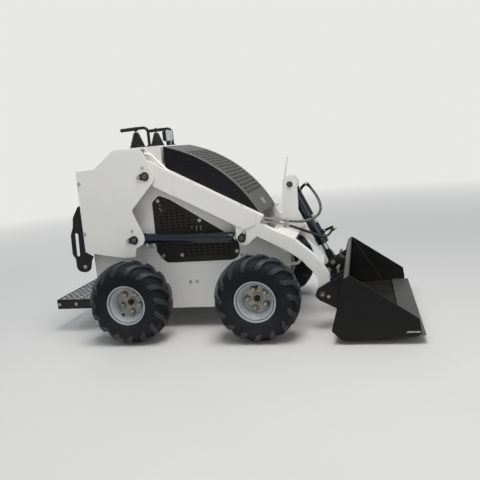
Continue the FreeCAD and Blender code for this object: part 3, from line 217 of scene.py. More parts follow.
class Effects:
    """Shared effects as node groups, each built once."""

    made: dict[str, bpy.types.NodeTree] = {}

    @classmethod
    def group(cls, name: str, inputs: dict[str, float], outputs: dict[str, str],
              fill: Callable[[Tree, bpy.types.Node], dict[str, object]]) -> bpy.types.NodeTree:
        """Build a group, or give it back if it is there already.

        Args:
            name: The group's name.
            inputs: Its number inputs with their default values.
            outputs: Its outputs by kind of socket, Float, Color or Vector.
            fill: Makes the nodes from the group's inputs and returns what each output gives.

        Returns:
            The group's tree.
        """
        if name in cls.made:
            return cls.made[name]
        tree = bpy.data.node_groups.new(name, "ShaderNodeTree")
        for socket, value in inputs.items():
            item = tree.interface.new_socket(socket, in_out="INPUT",
                                             socket_type="NodeSocketFloat")
            item.default_value = value
        for socket, kind in outputs.items():
            tree.interface.new_socket(socket, in_out="OUTPUT", socket_type=f"NodeSocket{kind}")
        work = Tree(tree)
        given = work.add("GroupInput")
        results = fill(work, given)
        work.add("GroupOutput", inputs=results)
        cls.made[name] = tree
        return tree

    @classmethod
    def edges(cls) -> bpy.types.NodeTree:
        """Rounded edges: their normal, and a mask of outer edges, ragged with noise."""
        return cls.group("rounded_edges", {"Radius": 0.002},
                         {"Mask": "Float", "Normal": "Vector"}, cls.fill_edges)

    @staticmethod
    def fill_edges(work: Tree, given: bpy.types.Node) -> dict[str, object]:
        """Nodes of the rounded edges.

        Args:
            work: The group's tree.
            given: The group's inputs.

        Returns:
            What each output gives.
        """
        bevel = work.add("Bevel", samples=4, inputs={"Radius": given.outputs["Radius"]})
        plain = work.add("NewGeometry")
        dot = work.add("VectorMath", operation="DOT_PRODUCT",
                       inputs={0: bevel.outputs[0], 1: plain.outputs["Normal"]})
        bent = work.math("SUBTRACT", 1.0, dot.outputs["Value"])
        ragged = work.noise(work.place(), 60.0, 4.0, 0.7)
        reach = work.math("MULTIPLY", ragged, 0.22)
        mask = work.math("GREATER_THAN", bent, reach)
        soft = work.math("MULTIPLY", mask, work.span(bent, 0.0, 0.25))
        return {"Mask": soft, "Normal": bevel.outputs[0]}

    @classmethod
    def grain(cls) -> bpy.types.NodeTree:
        """Fine surface grain as a height and a broad, uneven tone."""
        return cls.group("surface_grain", {"Scale": 400.0, "Tone scale": 6.0},
                         {"Height": "Float", "Tone": "Float"}, cls.fill_grain)

    @staticmethod
    def fill_grain(work: Tree, given: bpy.types.Node) -> dict[str, object]:
        """Nodes of the grain.

        Args:
            work: The group's tree.
            given: The group's inputs.

        Returns:
            What each output gives.
        """
        place = work.place()
        fine = work.noise(place, given.outputs["Scale"], 3.0, 0.6)
        broad = work.noise(place, given.outputs["Tone scale"], 4.0, 0.55)
        return {"Height": fine, "Tone": work.span(broad, 0.3, 0.7)}

    @classmethod
    def dust(cls) -> bpy.types.NodeTree:
        """Dust that gathers low on the machine and on faces that look up."""
        return cls.group("settled_dust", {"Reach": 0.6, "Amount": 0.5}, {"Mask": "Float"},
                         cls.fill_dust)

    @staticmethod
    def fill_dust(work: Tree, given: bpy.types.Node) -> dict[str, object]:
        """Nodes of the dust.

        Args:
            work: The group's tree.
            given: The group's inputs.

        Returns:
            What each output gives.
        """
        place = work.add("TexCoord").outputs
        height = work.add("SeparateXYZ", inputs={"Vector": place["Object"]}).outputs["Z"]
        facing = work.add("SeparateXYZ", inputs={"Vector": place["Normal"]}).outputs["Z"]
        low = work.math("SUBTRACT", 1.0, work.span(height, 0.02, given.outputs["Reach"]))
        cloud = work.noise(place["Object"], 9.0, 6.0, 0.65)
        speck = work.noise(place["Object"], 130.0, 3.0, 0.7)
        flat = work.math("MULTIPLY", work.span(facing, 0.55, 1.0), 0.5)
        amount = work.math("ADD", low, flat)
        patchy = work.math("MULTIPLY", amount, work.span(cloud, 0.32, 0.75))
        fine = work.math("MULTIPLY", patchy, work.span(speck, 0.25, 0.65))
        return {"Mask": work.math("MULTIPLY", fine, given.outputs["Amount"], clamp=True)}


class Pattern(Enum):
    """What a finish's grain looks like."""

    SPECKLED = "speckled"
    BRUSHED = "brushed"
    SPANGLED = "spangled"


@dataclass(frozen=True)
class Finish:
    """One finish: its colours, gloss, grain, worn edges and dust."""

    name: str
    color: Color
    tone: Color
    roughness: float
    metallic: float = 0.0
    specular: float = 0.5
    coat: float = 0.0
    grain: float = 500.0
    relief: float = 0.00006
    rounding: float = 0.0018
    worn: Color = (0.5, 0.5, 0.5)
    wear: float = 0.0
    dust: Color = (0.33, 0.29, 0.24)
    dust_amount: float = 0.3
    dust_reach: float = 0.55
    dust_roughness: float = 0.85
    coat_roughness: float = 0.12
    pattern: Pattern = Pattern.SPECKLED
    tone_scale: float = 5.0

    def build(self) -> bpy.types.Material:
        """Make the material.

        Returns:
            A material whose colour, gloss and relief vary over the surface.
        """
        material = bpy.data.materials.new(self.name)
        material.use_nodes = True
        work = Tree(material.node_tree)
        edges = work.add("Group", node_tree=Effects.edges(), inputs={"Radius": self.rounding})
        grain = work.add("Group", node_tree=Effects.grain(),
                         inputs={"Scale": self.grain, "Tone scale": self.tone_scale})
        dust = work.add("Group", node_tree=Effects.dust(),
                        inputs={"Reach": self.dust_reach, "Amount": self.dust_amount})
        tone = grain.outputs["Tone"]
        height = grain.outputs["Height"]
        if self.pattern is Pattern.BRUSHED:
            height = self.brushed(work)
        if self.pattern is Pattern.SPANGLED:
            tone = self.spangled(work)
        worn = work.math("MULTIPLY", edges.outputs["Mask"], self.wear, clamp=True)
        color = work.mix(tone, self.color, self.tone)
        color = work.mix(worn, color, self.worn)
        color = work.mix(dust.outputs["Mask"], color, self.dust)
        gloss = work.blend(tone, self.roughness, min(1.0, self.roughness * 1.25))
        gloss = work.blend(dust.outputs["Mask"], gloss, self.dust_roughness)
        bump = work.add("Bump", inputs={"Strength": 1.0, "Distance": self.relief,
                                        "Height": height, "Normal": edges.outputs["Normal"]})
        shader = work.add("BsdfPrincipled", inputs={
            "Base Color": color, "Roughness": gloss, "Metallic": self.metallic,
            "Specular IOR Level": self.specular, "Coat Weight": self.coat,
            "Coat Roughness": self.coat_roughness, "Normal": bump.outputs[0]})
        work.add("OutputMaterial", inputs={"Surface": shader.outputs[0]})
        return material

    @staticmethod
    def brushed(work: Tree) -> object:
        """Height of fine parallel scratches."""
        stretched = work.add("Mapping", inputs={"Vector": work.place(),
                                                "Scale": (60.0, 900.0, 900.0)})
        return work.noise(stretched.outputs[0], 1.0, 2.0)

    @staticmethod
    def spangled(work: Tree) -> object:
        """Tone of zinc crystals, each with its own shade."""
        cells = work.add("TexVoronoi", inputs={"Vector": work.place(), "Scale": 90.0})
        return work.add("SeparateColor", inputs={"Color": cells.outputs["Color"]}).outputs[0]


class Palette:
    """Every finish of the machine, by the record's slot names and a few more."""

    finishes = (
        Finish("white_paint", (0.76, 0.75, 0.715), (0.71, 0.705, 0.675), 0.34, coat=0.2,
               grain=900.0, relief=0.00003, worn=(0.5, 0.49, 0.45), wear=0.2, dust_amount=0.3),
        Finish("black_paint", (0.005, 0.005, 0.0054), (0.009, 0.009, 0.0095), 0.42, specular=0.28,
               grain=700.0, worn=(0.08, 0.078, 0.075), wear=0.3, dust_amount=0.12),
        Finish("bucket_paint", (0.0042, 0.0042, 0.004), (0.0068, 0.0068, 0.0068), 0.44,
               specular=0.2, grain=500.0, worn=(0.09, 0.09, 0.085), wear=0.45, dust_amount=0.06,
               dust_reach=0.16),
        Finish("ram_paint", (0.003, 0.006, 0.014), (0.0045, 0.0085, 0.019), 0.2, specular=0.35,
               coat=0.45, grain=300.0, relief=0.00002, worn=(0.06, 0.06, 0.06), wear=0.15,
               dust_amount=0.06),
        Finish("ram_chrome", (0.52, 0.53, 0.54), (0.44, 0.45, 0.46), 0.16, metallic=1.0,
               relief=0.00001, pattern=Pattern.BRUSHED, dust_amount=0.03),
        Finish("zinc_steel", (0.56, 0.55, 0.53), (0.44, 0.43, 0.41), 0.38, metallic=1.0,
               relief=0.00002, rounding=0.001, dust_amount=0.1),
        Finish("pin_steel", (0.13, 0.125, 0.115), (0.09, 0.087, 0.08), 0.4, metallic=0.7,
               rounding=0.001, dust_amount=0.15),
        Finish("edge_steel", (0.055, 0.058, 0.057), (0.085, 0.088, 0.085), 0.45, metallic=0.4,
               worn=(0.3, 0.3, 0.29), wear=0.7, pattern=Pattern.BRUSHED, dust_amount=0.2),
        Finish("galvanized", (0.40, 0.41, 0.42), (0.28, 0.29, 0.30), 0.42, metallic=0.8,
               pattern=Pattern.SPANGLED, relief=0.00003, dust_amount=0.4, dust_reach=0.9),
        Finish("hub_zinc", (0.46, 0.43, 0.36), (0.34, 0.32, 0.26), 0.42, metallic=0.25,
               rounding=0.0012, wear=0.3, worn=(0.6, 0.6, 0.57), dust_amount=0.2, tone_scale=30.0),
        Finish("rim_paint", (0.40, 0.43, 0.45), (0.34, 0.365, 0.385), 0.34, metallic=0.1, coat=0.2,
               relief=0.00004, wear=0.2, worn=(0.3, 0.3, 0.3), dust_amount=0.25),
        Finish("tyre_rubber", (0.005, 0.006, 0.0085), (0.0078, 0.0092, 0.0125), 0.66, specular=0.2,
               grain=260.0, relief=0.0002, rounding=0.003, worn=(0.045, 0.047, 0.052), wear=0.6,
               dust_amount=0.14, dust_reach=0.35, tone_scale=14.0),
        # Painted highlight, partly scuffed rubber: lugs lighter and bluer than the casing, with pale bluish worn
        # edges.
        Finish("tread_rubber", (0.013, 0.0148, 0.019), (0.024, 0.027, 0.033), 0.5, specular=0.35,
               grain=260.0, relief=0.0002, rounding=0.003, worn=(0.10, 0.105, 0.115), wear=0.5,
               dust_amount=0.22, dust_reach=0.3, tone_scale=14.0),
        Finish("boot_rubber", (0.007, 0.0075, 0.009), (0.012, 0.0125, 0.014), 0.5, specular=0.35,
               relief=0.00005, dust_amount=0.12),
        Finish("hose_rubber", (0.007, 0.007, 0.008), (0.012, 0.012, 0.013), 0.42, relief=0.00005,
               dust_amount=0.08),
        # Painted highlight: a grey copy of the black spiral guard, so that the wrap shows light dashes.
        Finish("hose_guard", (0.26, 0.265, 0.28), (0.32, 0.325, 0.34), 0.24, specular=0.7,
               relief=0.00003, dust_amount=0.1),
        Finish("black_plastic", (0.008, 0.008, 0.0085), (0.013, 0.013, 0.0135), 0.42, specular=0.35,
               grain=1200.0, relief=0.00006, dust_amount=0.12),
        Finish("hood_plastic", (0.070, 0.072, 0.062), (0.092, 0.094, 0.082), 0.42, specular=0.4,
               grain=900.0, relief=0.00006, dust_amount=0.2, dust_reach=0.9),
        Finish("grille_paint", (0.013, 0.012, 0.0095), (0.017, 0.0155, 0.0125), 0.5, specular=0.3,
               grain=700.0, worn=(0.05, 0.05, 0.045), wear=0.3, dust_amount=0.1),
        # Painted shade: near-black for the sheets and patches that stand for the shade behind and inside slots.
        Finish("gap_black", (0.0012, 0.0012, 0.0012), (0.002, 0.002, 0.002), 1.0, specular=0.0,
               relief=0.0002, dust_amount=0.02),
        Finish("hood_gloss", (0.0025, 0.0025, 0.004), (0.004, 0.004, 0.006), 0.24, specular=0.2,
               coat=0.1, relief=0.00002, dust_amount=0.1),
        # Painted highlight: a lighter copy of the hood's plastic for the rolled edge beads.
        Finish("hood_edge", (0.11, 0.11, 0.10), (0.14, 0.14, 0.128), 0.4, dust_amount=0.2),
        Finish("lamp_glass", (0.55, 0.57, 0.57), (0.48, 0.5, 0.5), 0.12, coat=0.8, relief=0.00001,
               dust_amount=0.1),
        Finish("label_film", (0.45, 0.45, 0.43), (0.4, 0.4, 0.38), 0.3, coat=0.3, dust_amount=0.1),
        Finish("engine_iron", (0.012, 0.012, 0.012), (0.02, 0.02, 0.02), 0.7, metallic=0.2,
               specular=0.2, relief=0.0004, dust_amount=0.1),
    )

    special = {"hood_sides": "hood_gloss", "side_grilles": "grille_paint",
               "tower_pins": "pin_steel", "arm_pins": "pin_steel"}

    def __init__(self) -> None:
        """Build every finish."""
        self.materials = {finish.name: finish.build() for finish in self.finishes}

    def dress_nodes(self) -> None:
        """Give each CAD node the finish of its slot."""
        slots = {part["node"]: part["material_slot"] for part in frame["record"]["subparts"]}
        for name, node in frame["nodes"].items():
            node.data.materials.clear()
            node.data.materials.append(self.materials[self.special.get(name, slots[name])])
        LOG.info("dressed %d CAD nodes", len(slots))

    def __getitem__(self, name: str) -> bpy.types.Material:
        """A finish by its name."""
        return self.materials[name]


def rounded(corners: Sequence[Sequence[float]], steps: int = 5) -> list[Spot]:
    """Fill in the arcs of an outline's corners.

    Args:
        corners: Points as (first, second) or (first, second, radius).
        steps: Straight pieces in each arc.

    Returns:
        The outline's points in order.
    """
    points: list[Spot] = []
    count = len(corners)
    for index, corner in enumerate(corners):
        spot = Vector(corner[:2])
        if len(corner) < 3:
            points.append((spot.x, spot.y))
            continue
        into = (spot - Vector(corners[index - 1][:2])).normalized()
        out = (Vector(corners[(index + 1) % count][:2]) - spot).normalized()
        turn = into.angle(out)
        sign = 1.0 if into.cross(out) > 0 else -1.0
        enter = spot - into * corner[2] * math.tan(turn / 2)
        inward = Vector((-into.y, into.x)) * sign * corner[2]
        for step in range(steps + 1):
            spin = Matrix.Rotation(sign * turn * step / steps, 2)
            point = enter + inward - spin @ inward
            points.append((point.x, point.y))
    return points


def smooth_path(points: Sequence[Sequence[float]], steps: int = 8) -> list[Vector]:
    """A soft curve through points, sampled finely.

    Args:
        points: What the curve goes through.
        steps: Straight pieces from each point to the next.

    Returns:
        The curve's points in order.
    """
    spots = [Vector(point) for point in points]
    spots = [spots[0] * 2 - spots[1], *spots, spots[-1] * 2 - spots[-2]]
    path: list[Vector] = []
    for before, start, end, after in zip(spots, spots[1:], spots[2:], spots[3:]):
        for step in range(steps):
            share = step / steps
            square, cube = share * share, share ** 3
            path.append((start * 2 + (end - before) * share
                         + (before * 2 - start * 5 + end * 4 - after) * square
                         + (start * 3 - before - end * 3 + after) * cube) / 2)
    path.append(spots[-2])
    return path


class Form:
    """One piece of the dressed model, built face by face in millimetres of the drawing."""

    palette: "Palette"
    slots: set[str] = set()

    def __init__(self, name: str, finish: str) -> None:
        """Start an empty piece with its finish."""
        self.name, self.finish = name, finish
        self.mesh = bmesh.new()

    def skin(self, rows: Sequence[Sequence[Sequence[float]]], closed: bool = True,
             capped: bool = True) -> None:
        """Lay faces between successive rows of points.

        Args:
            rows: Rows of equal length.
            closed: Whether each row runs round to its start.
            capped: Whether the first and the last row are closed with a face.
        """
        made = [[self.mesh.verts.new(point) for point in row] for row in rows]
        count = len(made[0])
        for near, far in zip(made, made[1:]):
            for index in range(count if closed else count - 1):
                after = (index + 1) % count
                self.mesh.faces.new((near[index], near[after], far[after], far[index]))
        if capped:
            self.mesh.faces.new(made[0][::-1])
            self.mesh.faces.new(made[-1])

    def prism(self, outline: Outline, near: float, far: float) -> None:
        """A plate across the machine: its outline in (along, height), between two offsets."""
        self.skin([[(x, offset, z) for x, z in outline] for offset in (near, far)])

    def block(self, low: Point, high: Point) -> None:
        """A box between two corners."""
        corners = [(low[0], low[2]), (high[0], low[2]), (high[0], high[2]), (low[0], high[2])]
        self.prism(corners, low[1], high[1])

    def lathe(self, profile: Outline, origin: Sequence[float] = ORIGIN,
              axis: Sequence[float] = (0, 1, 0), sides: int = 32, ring: bool = False) -> None:
        """Turn a profile about an axis.

        Args:
            profile: Points as (radius, distance along the axis).
            origin: Where the axis starts.
            axis: The axis's direction.
            sides: Steps round the axis.
            ring: Whether the profile closes on itself, as for a hollow ring.
        """
        turn = Vector((0, 1, 0)).rotation_difference(Vector(axis).normalized()).to_matrix()
        rows = []
        for radius, distance in profile:
            row = []
            for step in range(sides):
                angle = FULL_TURN * step / sides
                flat = Vector((radius * math.sin(angle), distance, radius * math.cos(angle)))
                row.append(Vector(origin) + turn @ flat)
            rows.append(row)
        self.skin(rows + rows[:1] if ring else rows, capped=not ring)

    def tube(self, path: Sequence[Vector], radius: float | Sequence[float],
             sides: int = 16) -> None:
        """Run a round bar along a path.

        Args:
            path: The bar's middle line.
            radius: One radius, or one for each point.
            sides: Steps round the bar.
        """
        radii = [radius] * len(path) if isinstance(radius, (int, float)) else list(radius)
        ahead = (path[1] - path[0]).normalized()
        across = ahead.orthogonal().normalized()
        rows = []
        for index, spot in enumerate(path):
            after = path[min(index + 1, len(path) - 1)]
            before = path[max(index - 1, 0)]
            heading = (after - before).normalized()
            across = ahead.rotation_difference(heading) @ across
            ahead = heading
            above = ahead.cross(across)
            rows.append([spot + (across * math.cos(FULL_TURN * step / sides)
                                 + above * math.sin(FULL_TURN * step / sides)) * radii[index]
                         for step in range(sides)])
        self.skin(rows)

    def bolt(self, spot: Sequence[float], axis: Sequence[float], size: float,
             height: float) -> None:
        """Add a hexagon head with a chamfered top on its washer.

        Args:
            spot: Where the washer lies.
            axis: The way that the head points.
            size: The head's radius over its corners.
            height: The washer's share and the head together.
        """
        washer = height * 0.22
        self.lathe([(size * 1.35, 0), (size * 1.35, washer * 0.8), (size * 1.25, washer)],
                   spot, axis, 24)
        start = Vector(spot) + Vector(axis).normalized() * washer
        self.lathe([(size, 0), (size, height * 0.62), (size * 0.86, height * 0.78)],
                   start, axis, 6)

    def button(self, spot: Sequence[float], axis: Sequence[float], size: float,
               height: float) -> None:
        """A low domed head."""
        self.lathe([(size, 0), (size, height * 0.3), (size * 0.8, height * 0.75),
                    (size * 0.4, height)], spot, axis, 20)

    def weld(self, path: Sequence[Sequence[float]], radius: float) -> None:
        """Lay a rippled bead along straight runs.

        Args:
            path: The runs' ends.
            radius: The bead's radius at the top of a ripple.
        """
        spots: list[Vector] = []
        for start, end in zip(path, path[1:]):
            near, far = Vector(start), Vector(end)
            count = max(2, round((far - near).length / (radius * 0.9)))
            spots += [near.lerp(far, step / count) for step in range(count)]
        spots.append(Vector(path[-1]))
        self.tube(spots, [radius * (1.0 if index % 2 else 0.82) for index in range(len(spots))], 8)

    def clean(self) -> None:
        """Merge vertices that coincide and turn every face outward."""
        bmesh.ops.remove_doubles(self.mesh, verts=self.mesh.verts, dist=MERGE_GAP)
        bmesh.ops.recalc_face_normals(self.mesh, faces=self.mesh.faces)

    def soften(self, width: float) -> "Form":
        """Round every sharp edge.

        Args:
            width: How wide the rounding is.

        Returns:
            The same piece.
        """
        self.clean()
        sharp = [edge for edge in self.mesh.edges
                 if len(edge.link_faces) == 2 and edge.calc_face_angle(0.0) > SOFT_TURN]
        bmesh.ops.bevel(self.mesh, geom=sharp, offset=width, segments=2, profile=0.7,
                        affect="EDGES", clamp_overlap=True)
        return self

    def both_sides(self) -> "Form":
        """Add the mirror image on the machine's other side.

        Returns:
            The same piece.
        """
        parts = self.mesh.verts[:] + self.mesh.edges[:] + self.mesh.faces[:]
        copy = bmesh.ops.duplicate(self.mesh, geom=parts)["geom"]
        spots = [part for part in copy if isinstance(part, bmesh.types.BMVert)]
        bmesh.ops.scale(self.mesh, vec=(1, -1, 1), verts=spots)
        return self

    def place(self, body: str, *stands_for: str, move: Matrix | None = None) -> bpy.types.Object:
        """Finish the piece and let it ride on a body.

        Args:
            body: The CAD body that carries it.
            stands_for: CAD nodes that it replaces.
            move: Where millimetres of its own frame lie, if not on the drawing.

        Returns:
            The finished object.
        """
        bmesh.ops.remove_doubles(self.mesh, verts=self.mesh.verts, dist=MERGE_GAP)
        matrix = move or Matrix.Translation(Machine.at(*ORIGIN))
        bmesh.ops.transform(self.mesh, matrix=matrix @ Matrix.Scale(MM, 4), verts=self.mesh.verts)
        bmesh.ops.recalc_face_normals(self.mesh, faces=self.mesh.faces)
        data = bpy.data.meshes.new(self.name)
        self.mesh.to_mesh(data)
        self.mesh.free()
        data.shade_smooth()
        data.set_sharp_from_angle(angle=SHARP_TURN)
        data.materials.append(self.palette[self.finish])
        item = add_object(self.name, data)
        even = item.modifiers.new("even_normals", "WEIGHTED_NORMAL")
        even.keep_sharp = True
        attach(item, body)
        if stands_for:
            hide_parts(*stands_for)
        LOG.info("%s: %d faces", self.name, len(data.polygons))
        return item


@dataclass
class Wheel:
    """Tyre with leaning lugs, stepped rim and hub with its nuts, about the wheel's own centre."""

    end: End
    side: Side
    lugs: int = 15
    nuts: int = 5
    nut_circle: float = 57.15
    track: float = 467.5
    casing: Outline = (
        (104.6, -87.9), (117, -88.2), (120.8, -88.2), (121.5, -91), (124, -94.5), (128, -95.5),
        (134, -96.5), (137, -98.2), (139, -98), (150, -100.2), (163, -102), (174, -102.6),
        (184, -101.5), (193, -99), (201, -94.5), (208, -88), (214.5, -79), (220, -68),
        (224.5, -54), (227.8, -38), (229.8, -20), (230.5, 0),
    )
    lining: Outline = ((104.6, 74), (188, 92), (216, 60), (216, -60), (188, -92), (104.6, -74))
    # Rows of a lug: sweep in degrees, across, casing radius, lean of its height, height, half width
    lug_path: Rows = (
        (10.2, -9, 230.4, 0, 14, 8), (9.2, -4, 230.4, 0, 16.8, 11), (5.6, 12, 230.2, 0, 17, 12.6),
        (1.4, 29, 228.8, 2, 17, 13), (-3.2, 47, 226, 6, 16.8, 13.4),
        (-7.2, 63, 221.6, 14, 16.2, 14), (-10, 76, 216, 28, 15.2, 14.6),
        (-11.8, 86, 209.5, 46, 13.6, 15),
        (-12.9, 93, 202.5, 62, 11, 15), (-13.4, 97, 196, 74, 8.6, 14.4),
        (-13.6, 98.6, 192.5, 79, 7.2, 13), (-13.7, 99, 191, 80, 1, 12),
    )
    foot_path: Rows = (
        (-15.2, 95, 199.5, 68, 6.6, 12), (-15.7, 98, 194, 78, 6.2, 11.5),
        (-16.1, 100.4, 188, 84, 5.2, 10.5), (-16.2, 101, 184.5, 88, 4.0, 9.5),
        (-16.3, 101.4, 183, 88, 0.5, 9),
    )
    rim_profile: Outline = (
        (104, -87.5), (116.5, -88.4), (118.6, -88.6), (119, -89.6), (118.2, -90.8), (116, -91),
        (112, -90.2), (107, -87.6), (104.8, -84), (103.6, -78), (102.6, -74.4), (101, -72.6),
        (95.6, -70.4), (94.2, -68.6), (93.6, -64), (92.9, -47), (91.6, -43.4), (85.6, -40.2),
        (84, -38), (83.4, -34), (82.6, -10), (81, -5), (78, -1.8), (74, -0.4),
        (70, 0), (36, 0), (36, 7.9), (83, 7.9), (84, 40), (99, 70), (100, 90.5), (112, 91),
        (119, 90.5), (118.5, 88.3), (104, 87.5), (104, 70), (88, 54), (88, -54), (104, -70),
    )
    hub_profile: Outline = (
        (14, -6), (22, -6), (23.4, -13), (27, -14), (28.6, -12.4), (29.6, -5), (32, -2.4),
        (47, -1.6), (71, -1.2), (73.5, -0.1), (74, 8), (73.9, 19.9), (14, 19.9),
    )

    @property
    def name(self) -> str:
        """The wheel's word in the frame's names."""
        return f"{self.end.word}_{self.side.word}"

    @property
    def move(self) -> Matrix:
        """Where the wheel's own frame lies.

        Returns:
            Its matrix, mirrored on the left.
        """
        sign = self.side.value
        place = Machine.at(self.end.along, sign * self.track, AXLE_HEIGHT)
        return Matrix.Translation(place) @ Matrix.Diagonal((1, -sign, 1, 1))

    def form(self, word: str, finish: str) -> Form:
        """Start a piece of this wheel."""
        return Form(f"{self.name}_{word}", finish)

    def finish(self, form: Form, word: str = "") -> None:
        """Place a piece on this wheel, standing for the wheel's node of that word."""
        nodes = [f"{word}_{self.name}"] if word else []
        form.place(f"wheel_{self.name}", *nodes, move=self.move)

    def lug_section(self, row: Sequence[float], side: int, middle: float) -> list[Vector]:
        """Points round one section of a lug.

        Args:
            row: One row of lug_path.
            side: -1 on the outer half of the tread, 1 on the inner half.
            middle: The lug's own angle in degrees.

        Returns:
            Six points: foot, shoulder and top on each side.
        """
        sweep, across, radius, lean, height, half = row
        out, up = around(lean)
        points = []
        for share, rise in ((-1.2, -5), (-1.0, height - 1.8), (-0.86, height), (0.86, height),
                            (1.0, height - 1.8), (1.2, -5)):
            reach = radius + up * rise
            angle = math.radians(middle + sweep) + share * half / radius
            points.append(Vector((reach * math.sin(angle), side * (across + out * rise),
                                  reach * math.cos(angle))))
        return points

    def tyre(self) -> None:
        """Casing turned from its section, with the lugs laid on it."""
        form = self.form("tyre", "tyre_rubber")
        half = list(self.casing)
        outer = half + [(radius, -across) for radius, across in half[-2::-1]]
        form.lathe([*outer, *self.lining], sides=150, ring=True)
        self.finish(form, "tyre")
        # The lugs take a lighter, bluer copy of the casing's rubber as painted highlight on their tops and edges.
        tread = self.form("tread", "tread_rubber")
        for side, phase in ((-1, 0.0), (1, 180.0 / self.lugs)):
            for number in range(self.lugs):
                middle = 360.0 / self.lugs * number + phase
                for path in (self.lug_path, self.foot_path):
                    tread.skin([self.lug_section(row, side, middle) for row in path])
        self.finish(tread, "tyre")

    def rim(self) -> None:
        """Stepped rim with a rolled lip and a dished disc, and its valve."""
        form = self.form("rim", "rim_paint")
        form.lathe(self.rim_profile, sides=120, ring=True)
        self.finish(form, "rim")
        valve = self.form("valve", "black_plastic")
        ahead, above = around(self.end.valve_turn)
        outward = Vector((ahead, 0, above))
        foot = outward * 85.4 + Vector((0, -44, 0))
        lean = (Vector(OUT) - outward * 0.35).normalized()
        valve.lathe([(10, -1), (10, 2), (8, 4), (5, 6), (4.5, 12), (3.6, 13)], foot, -outward, 24)
        valve.lathe([(3.4, 0), (3.4, 18), (4.4, 18.5), (4.4, 30), (3.4, 31.5)],
                    foot - outward * 9, lean, 16)
        self.finish(valve)

    def nut_spots(self, across: float) -> list[Point]:
        """Where the nuts stand round the hub."""
        turns = (self.end.nut_turn + number * 360 / self.nuts for number in range(self.nuts))
        return [(x, across, z) for x, z in (around(turn, self.nut_circle) for turn in turns)]

    def hub(self) -> None:
        """Hub boss, wheel nuts with dark rings of painted shade round them, and the black nut on the motor's stub.
        """
        form = self.form("hub", "hub_zinc")
        form.lathe(self.hub_profile, sides=72, ring=True)
        self.finish(form, "hub")
        bright = self.form("nuts", "zinc_steel")
        for spot in self.nut_spots(-1.4):
            bright.lathe([(13.4, 0), (12.6, -3.4)], spot, sides=24)
            bright.lathe([(12.2, -3.2), (12.2, -17), (10.8, -19), (6, -20.4)], spot, sides=6)
            bright.lathe([(6.2, -19.5), (6.2, -23.6), (5, -24.8)], spot, sides=18)
        self.finish(bright)
        nut_shade_and_stub = self.form("nut_seats", "black_paint")
        # Painted shade: thin black rings round each nut where it sits on the hub.
        for spot in self.nut_spots(-1.3):
            nut_shade_and_stub.lathe([(18, 0), (17.4, -0.8), (13.6, -0.5), (13.4, 0)], spot, sides=28, ring=True)
        nut_shade_and_stub.lathe([(19.5, -5), (19.5, -13), (17.5, -14.6)], sides=6)
        nut_shade_and_stub.lathe([(9, -14), (9, -16), (7.5, -16.8)], sides=20)
        self.finish(nut_shade_and_stub)

    def build(self) -> None:
        """Make the whole wheel."""
        self.tyre()
        self.rim()
        self.hub()


@dataclass
class Motors:
    """Ribbed motor housings between the body and the wheels."""

    flange_bolts: int = 8
    flange_circle: float = 72.0
    flange_face: float = 272.0
    profile: Outline = (
        (60, 258), (82, 258), (82, 270), (80, 272), (66, 272.4), (62, 276), (62, 330), (58, 333),
        (58, 341), (62, 344), (62, 436), (59, 441), (36, 441.5), (34, 441.6), (13.4, 441.6),
        (13.4, 466),
    )

    def build(self) -> None:
        """Make the four motors with their flange bolts."""
        form = Form("motor_housings", "black_paint")
        heads = Form("motor_bolts", "zinc_steel")
        for end in (End.REAR, End.FRONT):
            along = end.along
            form.lathe(self.profile, (along, 0, AXLE_HEIGHT), OUT, 48)
            for number in range(self.flange_bolts):
                x, z = around(22.5 + 45 * number, self.flange_circle)
                heads.bolt((along + x, -self.flange_face, AXLE_HEIGHT + z), OUT, 6, 6)
        form.both_sides().place("chassis", "wheel_motors")
        heads.both_sides().place("chassis")


@dataclass
class Pin:
    """A pivot pin seen from outside: its keeper plate, its end and the keeper's bolt."""

    name: str
    body: str
    spot: Spot
    face: float
    radius: float
    tail: Spot
    reach: float
    head: float = 27.0
    tail_share: float = 0.42
    thickness: float = 6.0

    def keeper(self) -> list[Spot]:
        """Outline of the keeper plate: a wide end about the pin and a narrow one about its bolt.

        Returns:
            The outline's points in order.
        """
        centre = Vector(self.spot)
        away = Vector(self.tail) - centre
        ahead = away.normalized()
        beside = Vector((-ahead.y, ahead.x))
        end = centre + ahead * away.length
        points = []
        for middle, share, start, steps in ((centre, 1.0, 0.5, 12),
                                            (end, self.tail_share, -0.5, 8)):
            for step in range(steps + 1):
                angle = math.pi * (start + step / steps)
                outward = ahead * math.cos(angle) + beside * math.sin(angle)
                points.append(middle + outward * self.head * share)
        return [tuple(point) for point in points]

    def build(self, *stands_for: str) -> None:
        """Make both sides of the pin.

        Args:
            stands_for: CAD nodes that it replaces.
        """
        keeper = Form(f"{self.name}_keepers", "black_paint")
        keeper.prism(self.keeper(), -self.face, -self.face - self.thickness)
        keeper.soften(1.2).both_sides().place(self.body, *stands_for)
        end = Form(f"{self.name}_pins", "pin_steel")
        start = (self.spot[0], -self.face + self.reach, self.spot[1])
        radius, deep = self.radius, -self.reach - self.thickness
        end.lathe([(radius, 0), (radius, deep - 0.4), (radius - 1.5, deep - 1.8),
                   (radius * 0.62, deep - 1.8), (radius * 0.5, deep - 0.2),
                   (radius * 0.3, deep - 0.2), (radius * 0.25, deep - 1.2)], start, sides=40)
        end.both_sides().place(self.body, *stands_for)
        metal = Form(f"{self.name}_tail_bolts", "zinc_steel")
        metal.bolt((self.tail[0], -self.face - self.thickness, self.tail[1]), OUT, 7.5, 9)
        metal.both_sides().place(self.body, *stands_for)


